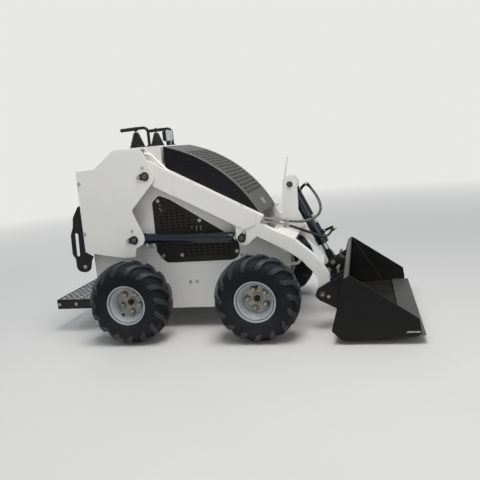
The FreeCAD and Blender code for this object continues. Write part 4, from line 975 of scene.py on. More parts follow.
@dataclass
class Body:
    """Pivot pins, bolts and fittings on the body and its towers."""

    wall: float = 255.0
    tower_face: float = 346.0
    pin_reach: float = 92.0
    pin_tail: Spot = (-38, -2)
    pins: tuple[tuple[str, float, float, float], ...] = (
        # name, along, height, radius
        ("lift_pivot", 127, 975, 17.5), ("ram_foot", 9, 597, 15),
    )
    bolts: Rows = (
        # along, height, face, size
        (-305, 963, 346, 8.5), (-313, 653, 346, 8.5), (118, 1026, 346, 7), (3, 654, 346, 7),
        (-346, 443, 336, 9), (155, 816, 255, 8.5), (407, 682, 255, 8.5), (623, 481, 255, 8.5),
        (273, 473, 255, 8.5), (153, 474, 255, 8.5), (649, 458, 258, 7.5), (685, 454, 258, 7.5),
        (310, 302, 258, 7.5), (353, 303, 258, 7.5), (138, 462, 255, 6.5),
    )
    # Small bright buttons on the grille: the last five are painted highlight of light seen through the slots, the
    # first three are taken as small fittings.
    rivets: Outline = (
        (166, 790), (163, 770), (171, 756), (355, 641), (384, 641), (410, 643), (384, 626),
        (412, 626),
    )
    grille: Outline = (
        (119, 809), (165, 847), (234, 817), (638, 547), (641, 445), (580, 430), (167, 430),
        (114, 500),
    )
    # Across-offsets of the black sheet of painted shade behind the grille's slots.
    backing: Spot = (-251.9, -252.5)
    grommet: Point = (216, -255, 497)

    def fastenings(self) -> None:
        """Pins with their keepers, the bolts, and small bright buttons on the grille, most of them painted
        highlight where light shows through its slots.
        """
        for name, along, height, radius in self.pins:
            tail = (along + self.pin_tail[0], height + self.pin_tail[1])
            Pin(name, "chassis", (along, height), self.tower_face, radius, tail,
                self.pin_reach).build("tower_pins")
        form = Form("body_bolts", "zinc_steel")
        for along, height, face, size in self.bolts:
            form.bolt((along, -face + 0.2, height), OUT, size, size * 0.95)
        # Painted highlight: bright buttons where light shows through the grille's slots.
        for along, height in self.rivets:
            form.button((along, 0.2 - self.wall, height), OUT, 4.2, 2.4)
        form.both_sides().place("chassis")

    def openings(self) -> None:
        """Black sheet behind the grille's slots as painted shade, and the cable grommet."""
        # Painted shade: a black sheet behind the grille so that its slots look dark.
        sheet = Form("grille_backing", "gap_black")
        sheet.prism(self.grille, *self.backing)
        sheet.both_sides().place("chassis")
        ring = Form("cable_grommets", "boot_rubber")
        ring.lathe([(8, -1), (8, -3.4), (9.6, -4.6), (12.6, -4.2), (14.2, -1.6), (14.4, 0.4)],
                   self.grommet, sides=32, ring=True)
        ring.lathe([(8.2, 0), (8.2, -1.4)], self.grommet, sides=24)
        ring.both_sides().place("chassis")

    def welds(self) -> None:
        """Beads where the towers, the brackets and the body meet."""
        form = Form("body_welds", "white_paint")
        form.weld([(-319, -259.5, 545), (-311, -259.5, 1020)], 4.5)
        form.weld([(-192, -259.5, 1040), (-60, -259.5, 1124)], 4)
        form.weld([(690, -258.5, 300), (776, -258.5, 262)], 3.5)
        form.both_sides().place("chassis")

    def build(self) -> None:
        """Make the body's pieces."""
        self.fastenings()
        self.openings()
        self.welds()


@dataclass
class Platform:
    """Grating of the operator's platform in its frame."""

    rear: float = -605.0
    front: float = -320.0
    half: float = 300.0
    top: float = 222.0
    rows: int = 13
    cells: int = 24
    strand: float = 3.4
    wave: float = 0.42
    margin: float = 8.0
    inset: float = 6.0
    strip: float = 11.0
    strip_depth: float = 8.0
    cross_bar: Spot = (140.0, 148.0)
    bolts: tuple[float, ...] = (-590, -470, -345)
    bolt_height: float = 191.0

    def grating(self) -> None:
        """Wavy strands that touch in turn and leave lozenge holes."""
        form = Form("tread_grating", "galvanized")
        pitch = (self.front - self.rear - 2 * self.margin) / self.rows
        step = 2 * (self.half - self.inset) / self.cells
        for row in range(self.rows + 1):
            middle = self.rear + self.margin + row * pitch
            strip = []
            for cell in range(self.cells + 1):
                swing = pitch * self.wave * (-1 if (cell + row) % 2 else 1)
                across = -self.half + self.inset + cell * step
                near, far = middle + swing - self.strand, middle + swing + self.strand
                near, far = max(near, self.rear + 2), min(far, self.front)
                strip.append([(near, across, self.top - 4), (far, across, self.top - 5),
                              (far, across, self.top - 1.2), (near, across, self.top - 0.2)])
            form.skin(strip)
        form.place("chassis", "platform_tread")

    def rim(self) -> None:
        """Angle strips round the grating, with a cross bar under it, and the frame's bolts."""
        form = Form("tread_rim", "black_paint")
        low, high = self.top - self.strip_depth, self.top
        rear, front = self.rear + self.strip, self.front - self.strip
        form.block((self.rear, -self.half, low), (rear, self.half, high))
        form.block((front, -self.half, low), (self.front, self.half, high))
        for side in (-1, 1):
            inner, outer = sorted((side * (self.half - self.strip), side * self.half))
            form.block((rear, inner, low), (front, outer, high))
        reach = self.half - self.strip
        form.block((self.rear + self.cross_bar[0], -reach, low - 14),
                   (self.rear + self.cross_bar[1], reach, low + 2))
        form.soften(0.8).place("chassis")
        bolts = Form("platform_bolts", "zinc_steel")
        for along in self.bolts:
            bolts.bolt((along, -self.half, self.bolt_height), OUT, 7.5, 7)
        bolts.both_sides().place("chassis")

    def build(self) -> None:
        """Make the platform's pieces."""
        self.grating()
        self.rim()


@dataclass
class Controls:
    """Bellows, knobs, handrail grips and the work lamp."""

    boot: Spot = (34, 172)
    boot_height: float = 92.0
    boot_foot: float = 48.0
    boot_taper: float = 34.0
    folds_end: float = 86.0
    deck: float = 1148.0
    top: float = 1274.0
    rail: Point = (-45, 215, 1260)
    rail_foot: float = 130.0
    grip_length: float = 112.0
    grip_rise: float = 2.4
    grip_steps: int = 26
    lamp: Spot = (154, 1174)
    lamp_ribs: int = 7
    knob: Outline = (
        (7.5, 0), (7.5, 12), (9, 15), (11.4, 20), (12, 25), (10.4, 31), (6, 35), (2, 36),
    )

    def bellows(self) -> list[Spot]:
        """A boot's profile: a cone with shallow folds, closer together near its foot.

        Returns:
            Points as (radius, height).
        """
        profile: list[Spot] = [(50, 0), (50, 4), (47.5, 6)]
        height, fold = 7.0, 8.0
        while height < self.folds_end:
            cone = self.boot_foot - self.boot_taper * height / self.boot_height
            profile += [(cone - 1.6, height), (cone + 0.9, height + fold * 0.35),
                        (cone + 0.5, height + fold * 0.65)]
            height += fold
            fold += 0.9
        return profile + [(15.5, 90), (14, self.boot_height)]

    def levers(self) -> None:
        """Bellows with a round knob on each lever."""
        along, across = self.boot[0], -self.boot[1]
        boots = Form("lever_bellows", "boot_rubber")
        boots.lathe(self.bellows(), (along, across, self.deck), UP, 40)
        boots.both_sides().place("chassis", "lever_boots")
        knobs = Form("lever_knobs", "black_plastic")
        knobs.lathe(self.knob, (along, across, self.top - self.knob[-1][1]), UP, 32)
        knobs.both_sides().place("chassis", "control_levers")
        collars = Form("lever_collars", "zinc_steel")
        collars.lathe([(9.5, 0), (9.5, 5), (8.5, 6)], (along, across, self.deck + 91.5), UP, 24)
        for number in range(4):
            y, x = around(45 + 90 * number, 46)
            collars.button((along + x, across + y, self.deck + 3.5), UP, 3.4, 2.6)
        collars.both_sides().place("chassis")

    def grips(self) -> None:
        """Ribbed grips on the handrails and flanges at their feet."""
        along, across, height = self.rail
        form = Form("rail_grips", "boot_rubber")
        path, radii = [], []
        for step in range(self.grip_steps + 1):
            share = step / self.grip_steps
            path.append(Vector((along - 1.5 + self.grip_length * share, -across,
                                height - 0.6 + self.grip_rise * share)))
            radii.append(11.4 if step % 2 else 10.6)
        radii[0], radii[1], radii[-1] = 8.5, 11.4, 11.6
        form.tube(path, radii, 24)
        form.both_sides().place("chassis")
        feet = Form("rail_feet", "black_paint")
        feet.lathe([(21, 0), (21, 4), (19.5, 5), (12, 6), (10.5, 14), (9.2, 15)],
                   (self.rail_foot, -across, self.deck), UP, 32)
        feet.both_sides().place("chassis")

    def work_lamp(self) -> None:
        """Lamp with a finned black back half and a ribbed, rounded pale lens in front."""
        back, low = self.lamp
        case = Form("lamp_case", "black_plastic")
        case.block((back + 9, -42, low), (back + 25, 42, low + 70))
        case.soften(4)
        for fin in range(self.lamp_ribs):
            offset = -36 + fin * 12
            case.block((back, offset - 1.6, low + 6), (back + 12, offset + 1.6, low + 64))
        case.block((168, -20, self.deck), (186, 20, low + 2))
        case.place("chassis", "work_lamp")
        lens = Form("lamp_lens", "lamp_glass")
        lens.block((back + 23, -40.5, low + 1.5), (back + 43, 40.5, low + 68.5))
        lens.soften(9)
        for rib in range(self.lamp_ribs):
            lens.lathe([(1.6, -22), (2.2, -20), (2.2, 20), (1.6, 22)],
                       (back + 42.8, -30 + rib * 10, low + 35), UP, 10)
        lens.place("chassis")

    def build(self) -> None:
        """Make the controls' pieces."""
        self.levers()
        self.grips()
        self.work_lamp()


@dataclass
class Hood:
    """Latch, edge beads with painted highlight, front gasket, painted shade at the vents and under the crown, and
    side bolts of the hood.
    """

    half: float = 262.0
    crown: Rows = ((234, 1142), (601.6, 1026.1, 877), (792, 698))
    crown_steps: int = 28
    curve_centre: Point = (13.5, 0, 291.7)
    vent_turn: Spot = (24.0, 1.9)
    vent_count: int = 16
    vent_rows: int = 8
    vent_gap: float = 57.0
    # Outline of the dark patch of painted shade over each slot.
    vent_mouth: Rows = ((-10, -12, 4), (10, -12, 4), (10, 12, 4), (-10, 12, 4))
    latch: Point = (762.5, 749.4, -30.6)
    bolts: Outline = ((383, 1046), (465, 992), (524, 948), (642, 846))

    def line(self, inward: float) -> list[Vector]:
        """The crown's line seen from the side.

        Args:
            inward: How far it is moved inward along its normal.

        Returns:
            Points as (along, height).
        """
        points = [Vector(point) for point in rounded(self.crown, self.crown_steps)]
        line = []
        for index, point in enumerate(points):
            after = points[min(index + 1, len(points) - 1)]
            ahead = (after - points[max(index - 1, 0)]).normalized()
            line.append(point + Vector((ahead.y, -ahead.x)) * inward)
        return line

    def trim(self) -> None:
        """Rolled beads on the crown's edges in a lighter finish as painted highlight, the gasket under its front,
        and a black sheet under the crown as painted shade.
        """
        # The beads take a lighter finish than the crown, as painted highlight along its edges.
        beads = Form("hood_beads", "hood_edge")
        beads.tube([Vector((spot.x, -self.half + 1.4, spot.y)) for spot in self.line(2.2)],
                   3.4, 12)
        beads.both_sides().place("hood")
        seal = Form("hood_gasket", "boot_rubber")
        seal.tube([Vector((784.5, offset, 696.5)) for offset in (-258, -100, 100, 258)], 4.2, 12)
        seal.place("hood")
        # Painted shade: a black sheet just under the crown so that its slots look dark.
        crown_shade = Form("hood_liner", "gap_black")
        outer, inner = self.line(0.9)[1:-1], self.line(1.6)[1:-1]
        crown_shade.prism([(spot.x, spot.y) for spot in outer + inner[::-1]], -255, 255)
        crown_shade.place("hood")

    def vents(self) -> None:
        """Painted shade: dark patches round the crown's slots, in rows along its curve."""
        # Painted shade: a dark patch flush with the crown over each slot.
        form = Form("hood_vents", "gap_black")
        outline = rounded(self.vent_mouth, 3)
        centre, radius = Vector(self.curve_centre), self.crown[1][2]
        for number in range(self.vent_count):
            x, z = around(self.vent_turn[0] + self.vent_turn[1] * number)
            out = Vector((x, 0, z))
            ahead = Vector((out.z, 0, -out.x))
            for row in range(self.vent_rows):
                offset = (row - (self.vent_rows - 1) / 2) * self.vent_gap
                middle = centre + Vector((0, offset, 0))
                form.skin([[middle + out * (radius + rise) + ahead * u + Vector((0, v, 0))
                            for u, v in outline] for rise in (-0.6, 0.35)])
        form.place("hood")

    def fittings(self) -> None:
        """Latch with its bezel, and the bolts along the side panels."""
        form = Form("hood_latch", "zinc_steel")
        form.block((-1, -46, -22), (1.8, 46, 22))
        form.block((1, -20, -16), (3.4, 20, 16))
        form.soften(0.8)
        form.lathe([(11, 2.2), (11, 4), (9.4, 5), (4, 5), (3.4, 3.8)], ORIGIN, FORWARD, 28)
        form.place("hood", "hood_latch", move=Machine.leaning(*self.latch))
        heads = Form("hood_bolts", "black_paint")
        for along, height in self.bolts:
            heads.button((along, -self.half + 0.3, height), OUT, 7, 3.4)
        heads.both_sides().place("hood")

    def build(self) -> None:
        """Make the hood's pieces."""
        self.trim()
        self.vents()
        self.fittings()


@dataclass
class Arms:
    """Arm covers, ram eye pins and the fittings on the arms and the tilt tower."""

    face: float = 330.0
    cover: Rows = (
        (285, 907.9, 20), (305, 838.7, 20), (697, 620.1, 30), (767, 643, 30), (771, 714, 6),
        (300, 976, 10),
    )
    cover_bolts: Outline = ((400, 920.6), (690, 759.3))
    arm_top: Point = (0.487, 0, 0.873)
    guard: Outline = ((127, 1106), (163, 1097), (191, 1068), (219, 1039), (252, 1003), (296, 955))
    tilt_pin: Point = (944, -48, 842)

    def covers(self) -> None:
        """Cover sheets up to the arm's upper edge, with two bolts on the arm's top."""
        form = Form("arm_covers", "white_paint")
        form.prism(rounded(self.cover, 6), -self.face, -self.face - 4)
        form.soften(1.0).both_sides().place("lift_arm", "arm_covers")
        bolts = Form("cover_bolts", "zinc_steel")
        for along, height in self.cover_bolts:
            bolts.bolt((along, -318, height), self.arm_top, 6, 5)
        bolts.both_sides().place("lift_arm")

    def guards(self) -> None:
        """Bent tubes that carry the hoses from the tower over the arm's heel."""
        form = Form("hose_guards", "white_paint")
        form.tube(smooth_path([(x, -306, z) for x, z in self.guard], 6), 8.5, 20)
        form.both_sides().place("lift_arm")

    def pins(self) -> None:
        """Ram eye pins with keepers outside the arm's lug."""
        Pin("ram_eye", "lift_arm", (677, 570), self.face, 15, (696, 604), 13,
            head=25).build("arm_pins")

    def tower_caps(self) -> None:
        """Black rings with dim pin centres on the tilt tower's cheeks."""
        rings = Form("tilt_pin_rings", "black_paint")
        rings.lathe([(10, 0), (17.5, 0), (17.5, -6.6), (16.5, -7.4), (11, -7.4), (10, -6.6)],
                    self.tilt_pin, sides=36, ring=True)
        rings.both_sides().place("lift_arm")
        caps = Form("tilt_pin_caps", "pin_steel")
        caps.lathe([(10.5, 0), (10.5, -6.2), (9.4, -6.8), (4, -6.8), (3, -6)], self.tilt_pin,
                   sides=32)
        caps.both_sides().place("lift_arm")

    def welds(self) -> None:
        """Beads round the ram lug, the cross-member and the tilt tower's foot."""
        form = Form("arm_welds", "white_paint")
        form.weld([(875, -269.5, 600), (860, -269.5, 562)], 4.5)
        form.weld([(875, -269.5, 602), (966, -269.5, 546)], 4.5)
        form.both_sides().place("lift_arm")
        foot = Form("tower_welds", "white_paint")
        foot.weld([(890, -49, 590), (985, -49, 538)], 4.5)
        foot.both_sides().place("lift_arm")

    def build(self) -> None:
        """Make the arms' pieces."""
        self.covers()
        self.guards()
        self.pins()
        self.tower_caps()
        self.welds()


@dataclass
class Ram:
    """Fittings along one ram's barrel, in the ram's own frame: along, across and above its axis."""

    name: str
    body: str
    foot: Spot
    pitch: float
    radius: float
    ends: Spot
    offset: float = 0.0
    # Profiles as (out from the barrel's wall, along from the barrel's end)
    gland: Outline = ((-1, -46), (2.6, -45), (3, -43), (3, -12), (1.6, -10), (1.6, -6), (3, -4),
                      (2, 0.6), (-10, 1))
    base: Outline = ((-6, -0.6), (1.5, 0), (2.4, 2), (2.4, 22), (-0.5, 25))
    seal: Outline = ((-9, 0), (-10, 3), (-13, 4))

    def place(self, form: Form) -> None:
        """Place a piece that is built in the ram's own frame on its barrel."""
        form.place(self.body, move=self.move)

    @property
    def move(self) -> Matrix:
        """Where the ram's own frame lies."""
        return Machine.leaning(*self.foot, self.pitch)

    def turned(self, form: Form, profile: Outline, end: float, sides: int = 48) -> None:
        """Turn one of the profiles about the barrel's axis, at one of its ends."""
        form.lathe([(self.radius + out, end + along) for out, along in profile],
                   (0, -self.offset, 0), FORWARD, sides)

    def rings(self) -> Form:
        """Make the gland ring and the base ring.

        Returns:
            The piece, not yet placed.
        """
        form = Form(f"{self.name}_rings", "ram_paint")
        self.turned(form, self.gland, self.ends[1])
        self.turned(form, self.base, self.ends[0])
        return form

    def wiper(self) -> Form:
        """Make the dark wiper seal where the rod comes out.

        Returns:
            The piece, not yet placed.
        """
        form = Form(f"{self.name}_wiper", "boot_rubber")
        self.turned(form, self.seal, self.ends[1], 40)
        return form

    def elbow(self, pipe: Form, metal: Form, path: Sequence[Point], radius: float = 8.5) -> None:
        """Bend a pipe from its seat on the barrel to the hose, with its nuts.

        Args:
            pipe: The piece that takes the pipe.
            metal: The piece that takes the nuts.
            path: The pipe's line from the hose to the barrel.
            radius: The pipe's radius.
        """
        pipe.tube(smooth_path(path, 6), radius, 18)
        foot, after = Vector(path[-1]), Vector(path[-2])
        pipe.lathe([(14, -4), (14, 6), (12.5, 8)], foot, after - foot, 28)
        metal.lathe([(12, 7), (12, 15), (10.9, 16.4)], foot, after - foot, 6)
        near, inward = Vector(path[0]), Vector(path[0]) - Vector(path[1])
        pipe.lathe([(9.8, -20), (9.8, -1), (8.8, 0)], near, inward, 24)
        metal.lathe([(12.5, -33), (12.5, -20), (11.4, -19)], near, inward, 6)


@dataclass
class Rams:
    """Both lift rams and the tilt ram."""

    lift: Ram = field(default_factory=lambda: Ram(
        "lift_ram", "lift_barrel", (9, 597), 2.314, 32, (36, 612), 298))
    tilt: Ram = field(default_factory=lambda: Ram(
        "tilt_ram", "tilt_barrel", (944, 842), 65.28, 35, (38, 425)))
    ports: Spot = (64, 106)
    port_line: Outline = ((100, -42), (98, -50), (88, -55), (68, -56))
    upper_pipe: tuple[Point, ...] = (
        (68.4, -52, 100.6), (54, -50.5, 96), (47, -44, 84), (50, -32, 64), (57, -20, 46),
        (60, -13, 31),
    )
    lower_pipe: tuple[Point, ...] = (
        (373, -50, 88.1), (371, -47.5, 101), (368, -36, 110), (364, -21, 106), (361, -9, 92),
        (360, -3, 66), (360, 0, 34),
    )
    rod_body: str = "tilt_rod"
    rod_radius: float = 19.0
    rod_start: float = 190.0
    eye_spot: float = 554.8
    eye_radius: float = 28.0
    eye_bore: float = 15.2
    eye_half: float = 20.0
    neck_slimming: float = 7.0
    neck_length: float = 87.0
    eye_turns: tuple[float, ...] = (*range(-90, 91, 10), 105, 120, 135, 150, 162.16, 171, 180, 189,
                                    197.84, 210, 225, 240, 255)
    label_span: Spot = (232, 290)
    label_radius: float = 35.25

    def lift_fittings(self) -> None:
        """Rings, seals and oil ports of the lift rams."""
        for form in (self.lift.rings(), self.lift.wiper()):
            self.lift.place(form.both_sides())
        side = -self.lift.offset
        ports = Form("lift_ram_ports", "zinc_steel")
        for along in self.ports:
            ports.lathe([(13, 28), (13, 36), (12, 37)], (along, side, 0), (0, 0, -1), 24)
            ports.lathe([(11.5, 36), (11.5, 47), (10, 48.5)], (along, side, 0), (0, 0, -1), 6)
        ports.tube(smooth_path([(x, side, z) for x, z in self.port_line], 5), 5.5, 14)
        self.lift.place(ports.both_sides())

    def tilt_fittings(self) -> None:
        """Rings, seal and bent pipes of the tilt ram."""
        for form in (self.tilt.rings(), self.tilt.wiper()):
            self.tilt.place(form)
        pipes, nuts = Form("tilt_ram_pipes", "black_paint"), Form("tilt_ram_nuts", "zinc_steel")
        for path in (self.upper_pipe, self.lower_pipe):
            self.tilt.elbow(pipes, nuts, path)
        self.tilt.place(pipes)
        self.tilt.place(nuts)

    def label(self) -> None:
        """Blank sticker wrapped on the tilt ram's front."""
        form = Form("blank_label", "label_film")
        form.skin([[(along, *around(-50 + step * 6, self.label_radius)) for step in range(13)]
                   for along in self.label_span], closed=False, capped=False)
        self.tilt.place(form)

    def knuckle(self) -> None:
        """Tilt ram's bright rod with its black bored end, which narrows to a neck."""
        rod = Form("tilt_ram_rod", "ram_chrome")
        rod.lathe([(self.rod_radius, self.rod_start), (self.rod_radius, self.eye_spot - 70)],
                  ORIGIN, FORWARD, 48)
        rod.place(self.rod_body, "tilt_rod", move=self.tilt.move)
        eye = Form("tilt_ram_knuckle", "black_paint")
        rim, bore = [], []
        for turn in self.eye_turns:
            above, ahead = around(turn)
            behind = min(1.0, max(0.0, (abs((turn + 180) % 360 - 180) - 95) / 50))
            neck = self.eye_radius - self.neck_slimming * behind
            reach = self.eye_radius if ahead > -0.01 else min(
                neck / max(abs(above), 0.01), self.neck_length / abs(ahead))
            rim.append((self.eye_spot + ahead * reach, above * reach))
            bore.append((self.eye_spot + ahead * self.eye_bore, above * self.eye_bore))
        half = self.eye_half
        rows = [[(x, across, z) for x, z in line] for line, across in
                ((bore, -half), (rim, -half), (rim, half), (bore, half), (bore, -half))]
        eye.skin(rows, capped=False)
        eye.soften(2.4).place(self.rod_body, "tilt_rod", move=self.tilt.move)

    def build(self) -> None:
        """Make the rams' rings, ports and pipes, the blank label and the tilt rod."""
        self.lift_fittings()
        self.tilt_fittings()
        self.label()
        self.knuckle()


@dataclass(frozen=True)
class Route:
    """One hose: its CAD node, real length in metres, control points and spiral guard."""

    node: str
    length: float
    points: tuple[Point, ...]
    guard: str
    guarded: float


@dataclass
class Hoses:
    """Free hoses from the clamp to the tilt ram's ports, with the clamp's nuts."""

    diameter: float = 15.0
    wrap_pitch: float = 10.5
    wrap_steps: int = 12
    wrap_start: float = 12.0
    wrap_radius: float = 1.9
    wrap_lift: float = 0.9
    routes: tuple[Route, ...] = (
        # The upper hose's guard is grey as painted highlight; the lower one's is plain black.
        Route("hose_upper", 0.3982, ((929.8, -97.6, 621.5), (1060, -76, 596), (1156, -62, 700),
                                     (1064, -52, 822)), "hose_guard", 0.95),
        Route("hose_lower", 0.2952, ((930.5, -97.5, 592.7), (1046, -88, 546), (1152, -76, 492),
                                     (1180, -50, 540)), "black_plastic", 0.55),
    )

    def helix(self, spots: Sequence[Vector], share: float) -> list[Vector]:
        """The guard's line, wound round the first share of a hose.

        Args:
            spots: The hose's middle line.
            share: How much of the hose it covers.

        Returns:
            The line's points in order.
        """
        total = sum((after - spot).length for spot, after in zip(spots, spots[1:]))
        ahead = (spots[1] - spots[0]).normalized()
        across = ahead.orthogonal().normalized()
        helix, gone, due = [], 0.0, self.wrap_start
        for spot, after in zip(spots, spots[1:]):
            run = (after - spot).length
            if run < 1e-6:
                continue
            heading = (after - spot) / run
            across = ahead.rotation_difference(heading) @ across
            ahead = heading
            while due < gone + run and due < total * share:
                turn = FULL_TURN * due / self.wrap_pitch
                outward = across * math.cos(turn) + ahead.cross(across) * math.sin(turn)
                helix.append(spot + heading * (due - gone)
                             + outward * (self.diameter / 2 + self.wrap_lift))
                due += self.wrap_pitch / self.wrap_steps
            gone += run
        return helix

    def wrap(self, item: bpy.types.Object, route: Route) -> bpy.types.Object:
        """Wind the spiral guard round a hose.

        Args:
            item: The hose's curve, still without its thickness.
            route: The hose.

        Returns:
            The guard.
        """
        line = bpy.data.meshes.new_from_object(item)
        origin = Machine.at(*ORIGIN)
        spots = [(vert.co - origin) / MM for vert in line.vertices]
        bpy.data.meshes.remove(line)
        form = Form(f"{route.node}_wrap", route.guard)
        form.tube(self.helix(spots, route.guarded), self.wrap_radius, 6)
        return form.place("lift_arm")

    def hose(self, palette: Palette, route: Route) -> None:
        """Make one hose as a smooth curve.

        Args:
            palette: The finishes.
            route: The hose.
        """
        name, length, points = route.node, route.length, route.points
        data = bpy.data.curves.new(f"{name}_line", "CURVE")
        data.dimensions = "3D"
        data.bevel_resolution = 6
        data.resolution_u = 24
        data.use_fill_caps = True
        spline = data.splines.new("NURBS")
        spline.points.add(len(points) - 1)
        for point, spot in zip(spline.points, points):
            point.co = (*Machine.at(*spot), 1.0)
        spline.order_u = 3
        spline.use_endpoint_u = True
        data.bevel_depth = 0.0
        data.materials.append(palette["hose_rubber"])
        item = add_object(f"{name}_line", data)
        wrap = self.wrap(item, route)
        data.bevel_depth = self.diameter / 2 * MM
        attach(item, "lift_arm")
        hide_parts(name)
        tuple(Machine.at(*points[0]))
        LOG.info("%s: hose", name)

    def build(self, palette: Palette) -> None:
        """Make both hoses and their nuts.

        Args:
            palette: The finishes.
        """
        for route in self.routes:
            self.hose(palette, route)
        nuts = Form("clamp_nuts", "zinc_steel")
        for height in (624, 596):
            nuts.lathe([(9, -26), (9, 8), (8, 9)], (919, -98, height), (1, 0, -0.1), 6)
            nuts.lathe([(12, -12), (12, 4), (11, 5)], (921, -98, height), (1, 0, -0.1), 6)
        nuts.place("lift_arm")


@dataclass
class Bucket:
    """Latch handles, pin ends and welds of the quick attach and the bucket."""

    pin: Spot = (1124, 218)
    lean: float = 16.0
    plate: float = 345.0
    handle: Outline = (
        (86, 110.5), (86, 121.5), (67.4, 127.5), (55.8, 150), (61.8, 163.4), (53, 168.8),
        (42, 150.4), (58.8, 116.4),
    )
    edge_bolts: int = 8
    edge_bolt_gap: float = 144.0
    lip: tuple[Spot, Spot] = ((87.6, 178.6), (106.4, 201.2))
    corner: Outline = (
        (533, -5), (520, -10), (498, -15), (466, -27), (464, -22), (478, -13), (500, -8), (531, 1),
    )

    def fit(self, form: Form) -> None:
        """Place a piece that is built about the bucket's pin."""
        form.place("bucket", move=Machine.leaning(*self.pin, self.lean))

    def handles(self) -> None:
        """Silver latch handles bent up over the attach plate."""
        form = Form("latch_handles", "zinc_steel")
        form.prism(self.handle, -216.6, -245.4)
        self.fit(form.soften(1.4).both_sides())

    def pins(self) -> None:
        """Ends of the bucket pins with their keeper bolts, and the cutting edge's bolts."""
        ends = Form("bucket_pin_ends", "pin_steel")
        ends.lathe([(17.4, 0), (17.4, -3), (15.6, -4.4), (10, -4.4), (9, -2.4), (3, -2.4)],
                   (0, -self.plate, 0), sides=40)
        ends.lathe([(14.8, 0), (14.8, -5), (13.4, -6.4), (4, -6.4)], (18.7, -35, 129.7), sides=36)
        self.fit(ends.both_sides())
        form = Form("bucket_pin_bolts", "zinc_steel")
        form.bolt((36, -self.plate - 1, -3), OUT, 7, 7)
        form.lathe([(6, 0), (6, -3), (4.8, -3.8)], (0, -self.plate - 2, 0), sides=20)
        self.fit(form.both_sides())
        bolts = Form("edge_bolts", "edge_steel")
        for number in range(self.edge_bolts):
            across = (number - (self.edge_bolts - 1) / 2) * self.edge_bolt_gap
            bolts.button((512, across, -32.6), (0.33, 0, -0.94), 9, 4)
        self.fit(bolts)

    def strips(self) -> None:
        """Grey strip on the back's lip, light metal at the front corners as painted highlight and partly bare
        steel, and the sides' creases.
        """
        strip = Form("lip_strip", "hood_plastic")
        low, high = (Vector(spot) for spot in self.lip)
        out = Vector((low.y - high.y, high.x - low.x)).normalized()
        corners = (low - out, high - out, high + out * 0.4, low + out * 0.4)
        strip.prism([tuple(point) for point in corners], -569, 569)
        self.fit(strip)
        # Painted highlight, partly bare steel: light metal slivers where the cutting edge's end catches the light.
        bare_and_lit = Form("bare_corners", "zinc_steel")
        bare_and_lit.prism(self.corner, -570.5, -571.3)
        self.fit(bare_and_lit.both_sides())
        crease = Form("bucket_creases", "edge_steel")
        crease.tube([Vector((118, -561, 192)), Vector((392, -561, -58))], 1.4, 8)
        self.fit(crease.both_sides())

    def welds(self) -> None:
        """Beads along the bucket's side plates and the cutting edge."""
        form = Form("bucket_welds", "bucket_paint")
        form.weld([(109, -562, 190), (109, -562, -108)], 4)
        form.weld([(168, -562, -147), (448, -562, -48)], 4)
        form.both_sides()
        form.weld([(451, -560, -38), (451, 560, -38)], 3.4)
        self.fit(form)

    def build(self) -> None:
        """Make the bucket's pieces."""
        self.handles()
        self.pins()
        self.strips()
        self.welds()


@dataclass(frozen=True)
class Lamp:
    """One soft square lamp, aimed at the machine's middle."""

    name: str
    place: Point
    size: float
    power: float
    color: Color
    aim: Point = (0.0, 0.0, 0.5)

    def build(self) -> None:
        """Hang the lamp."""
        data = bpy.data.lights.new(self.name, "AREA")
        data.size = self.size
        data.energy = self.power
        data.color = self.color
        item = add_object(self.name, data)
        item.location = self.place
        item.rotation_mode = "QUATERNION"
        heading = Vector(self.aim) - item.location
        item.rotation_quaternion = heading.to_track_quat("-Z", "Y")


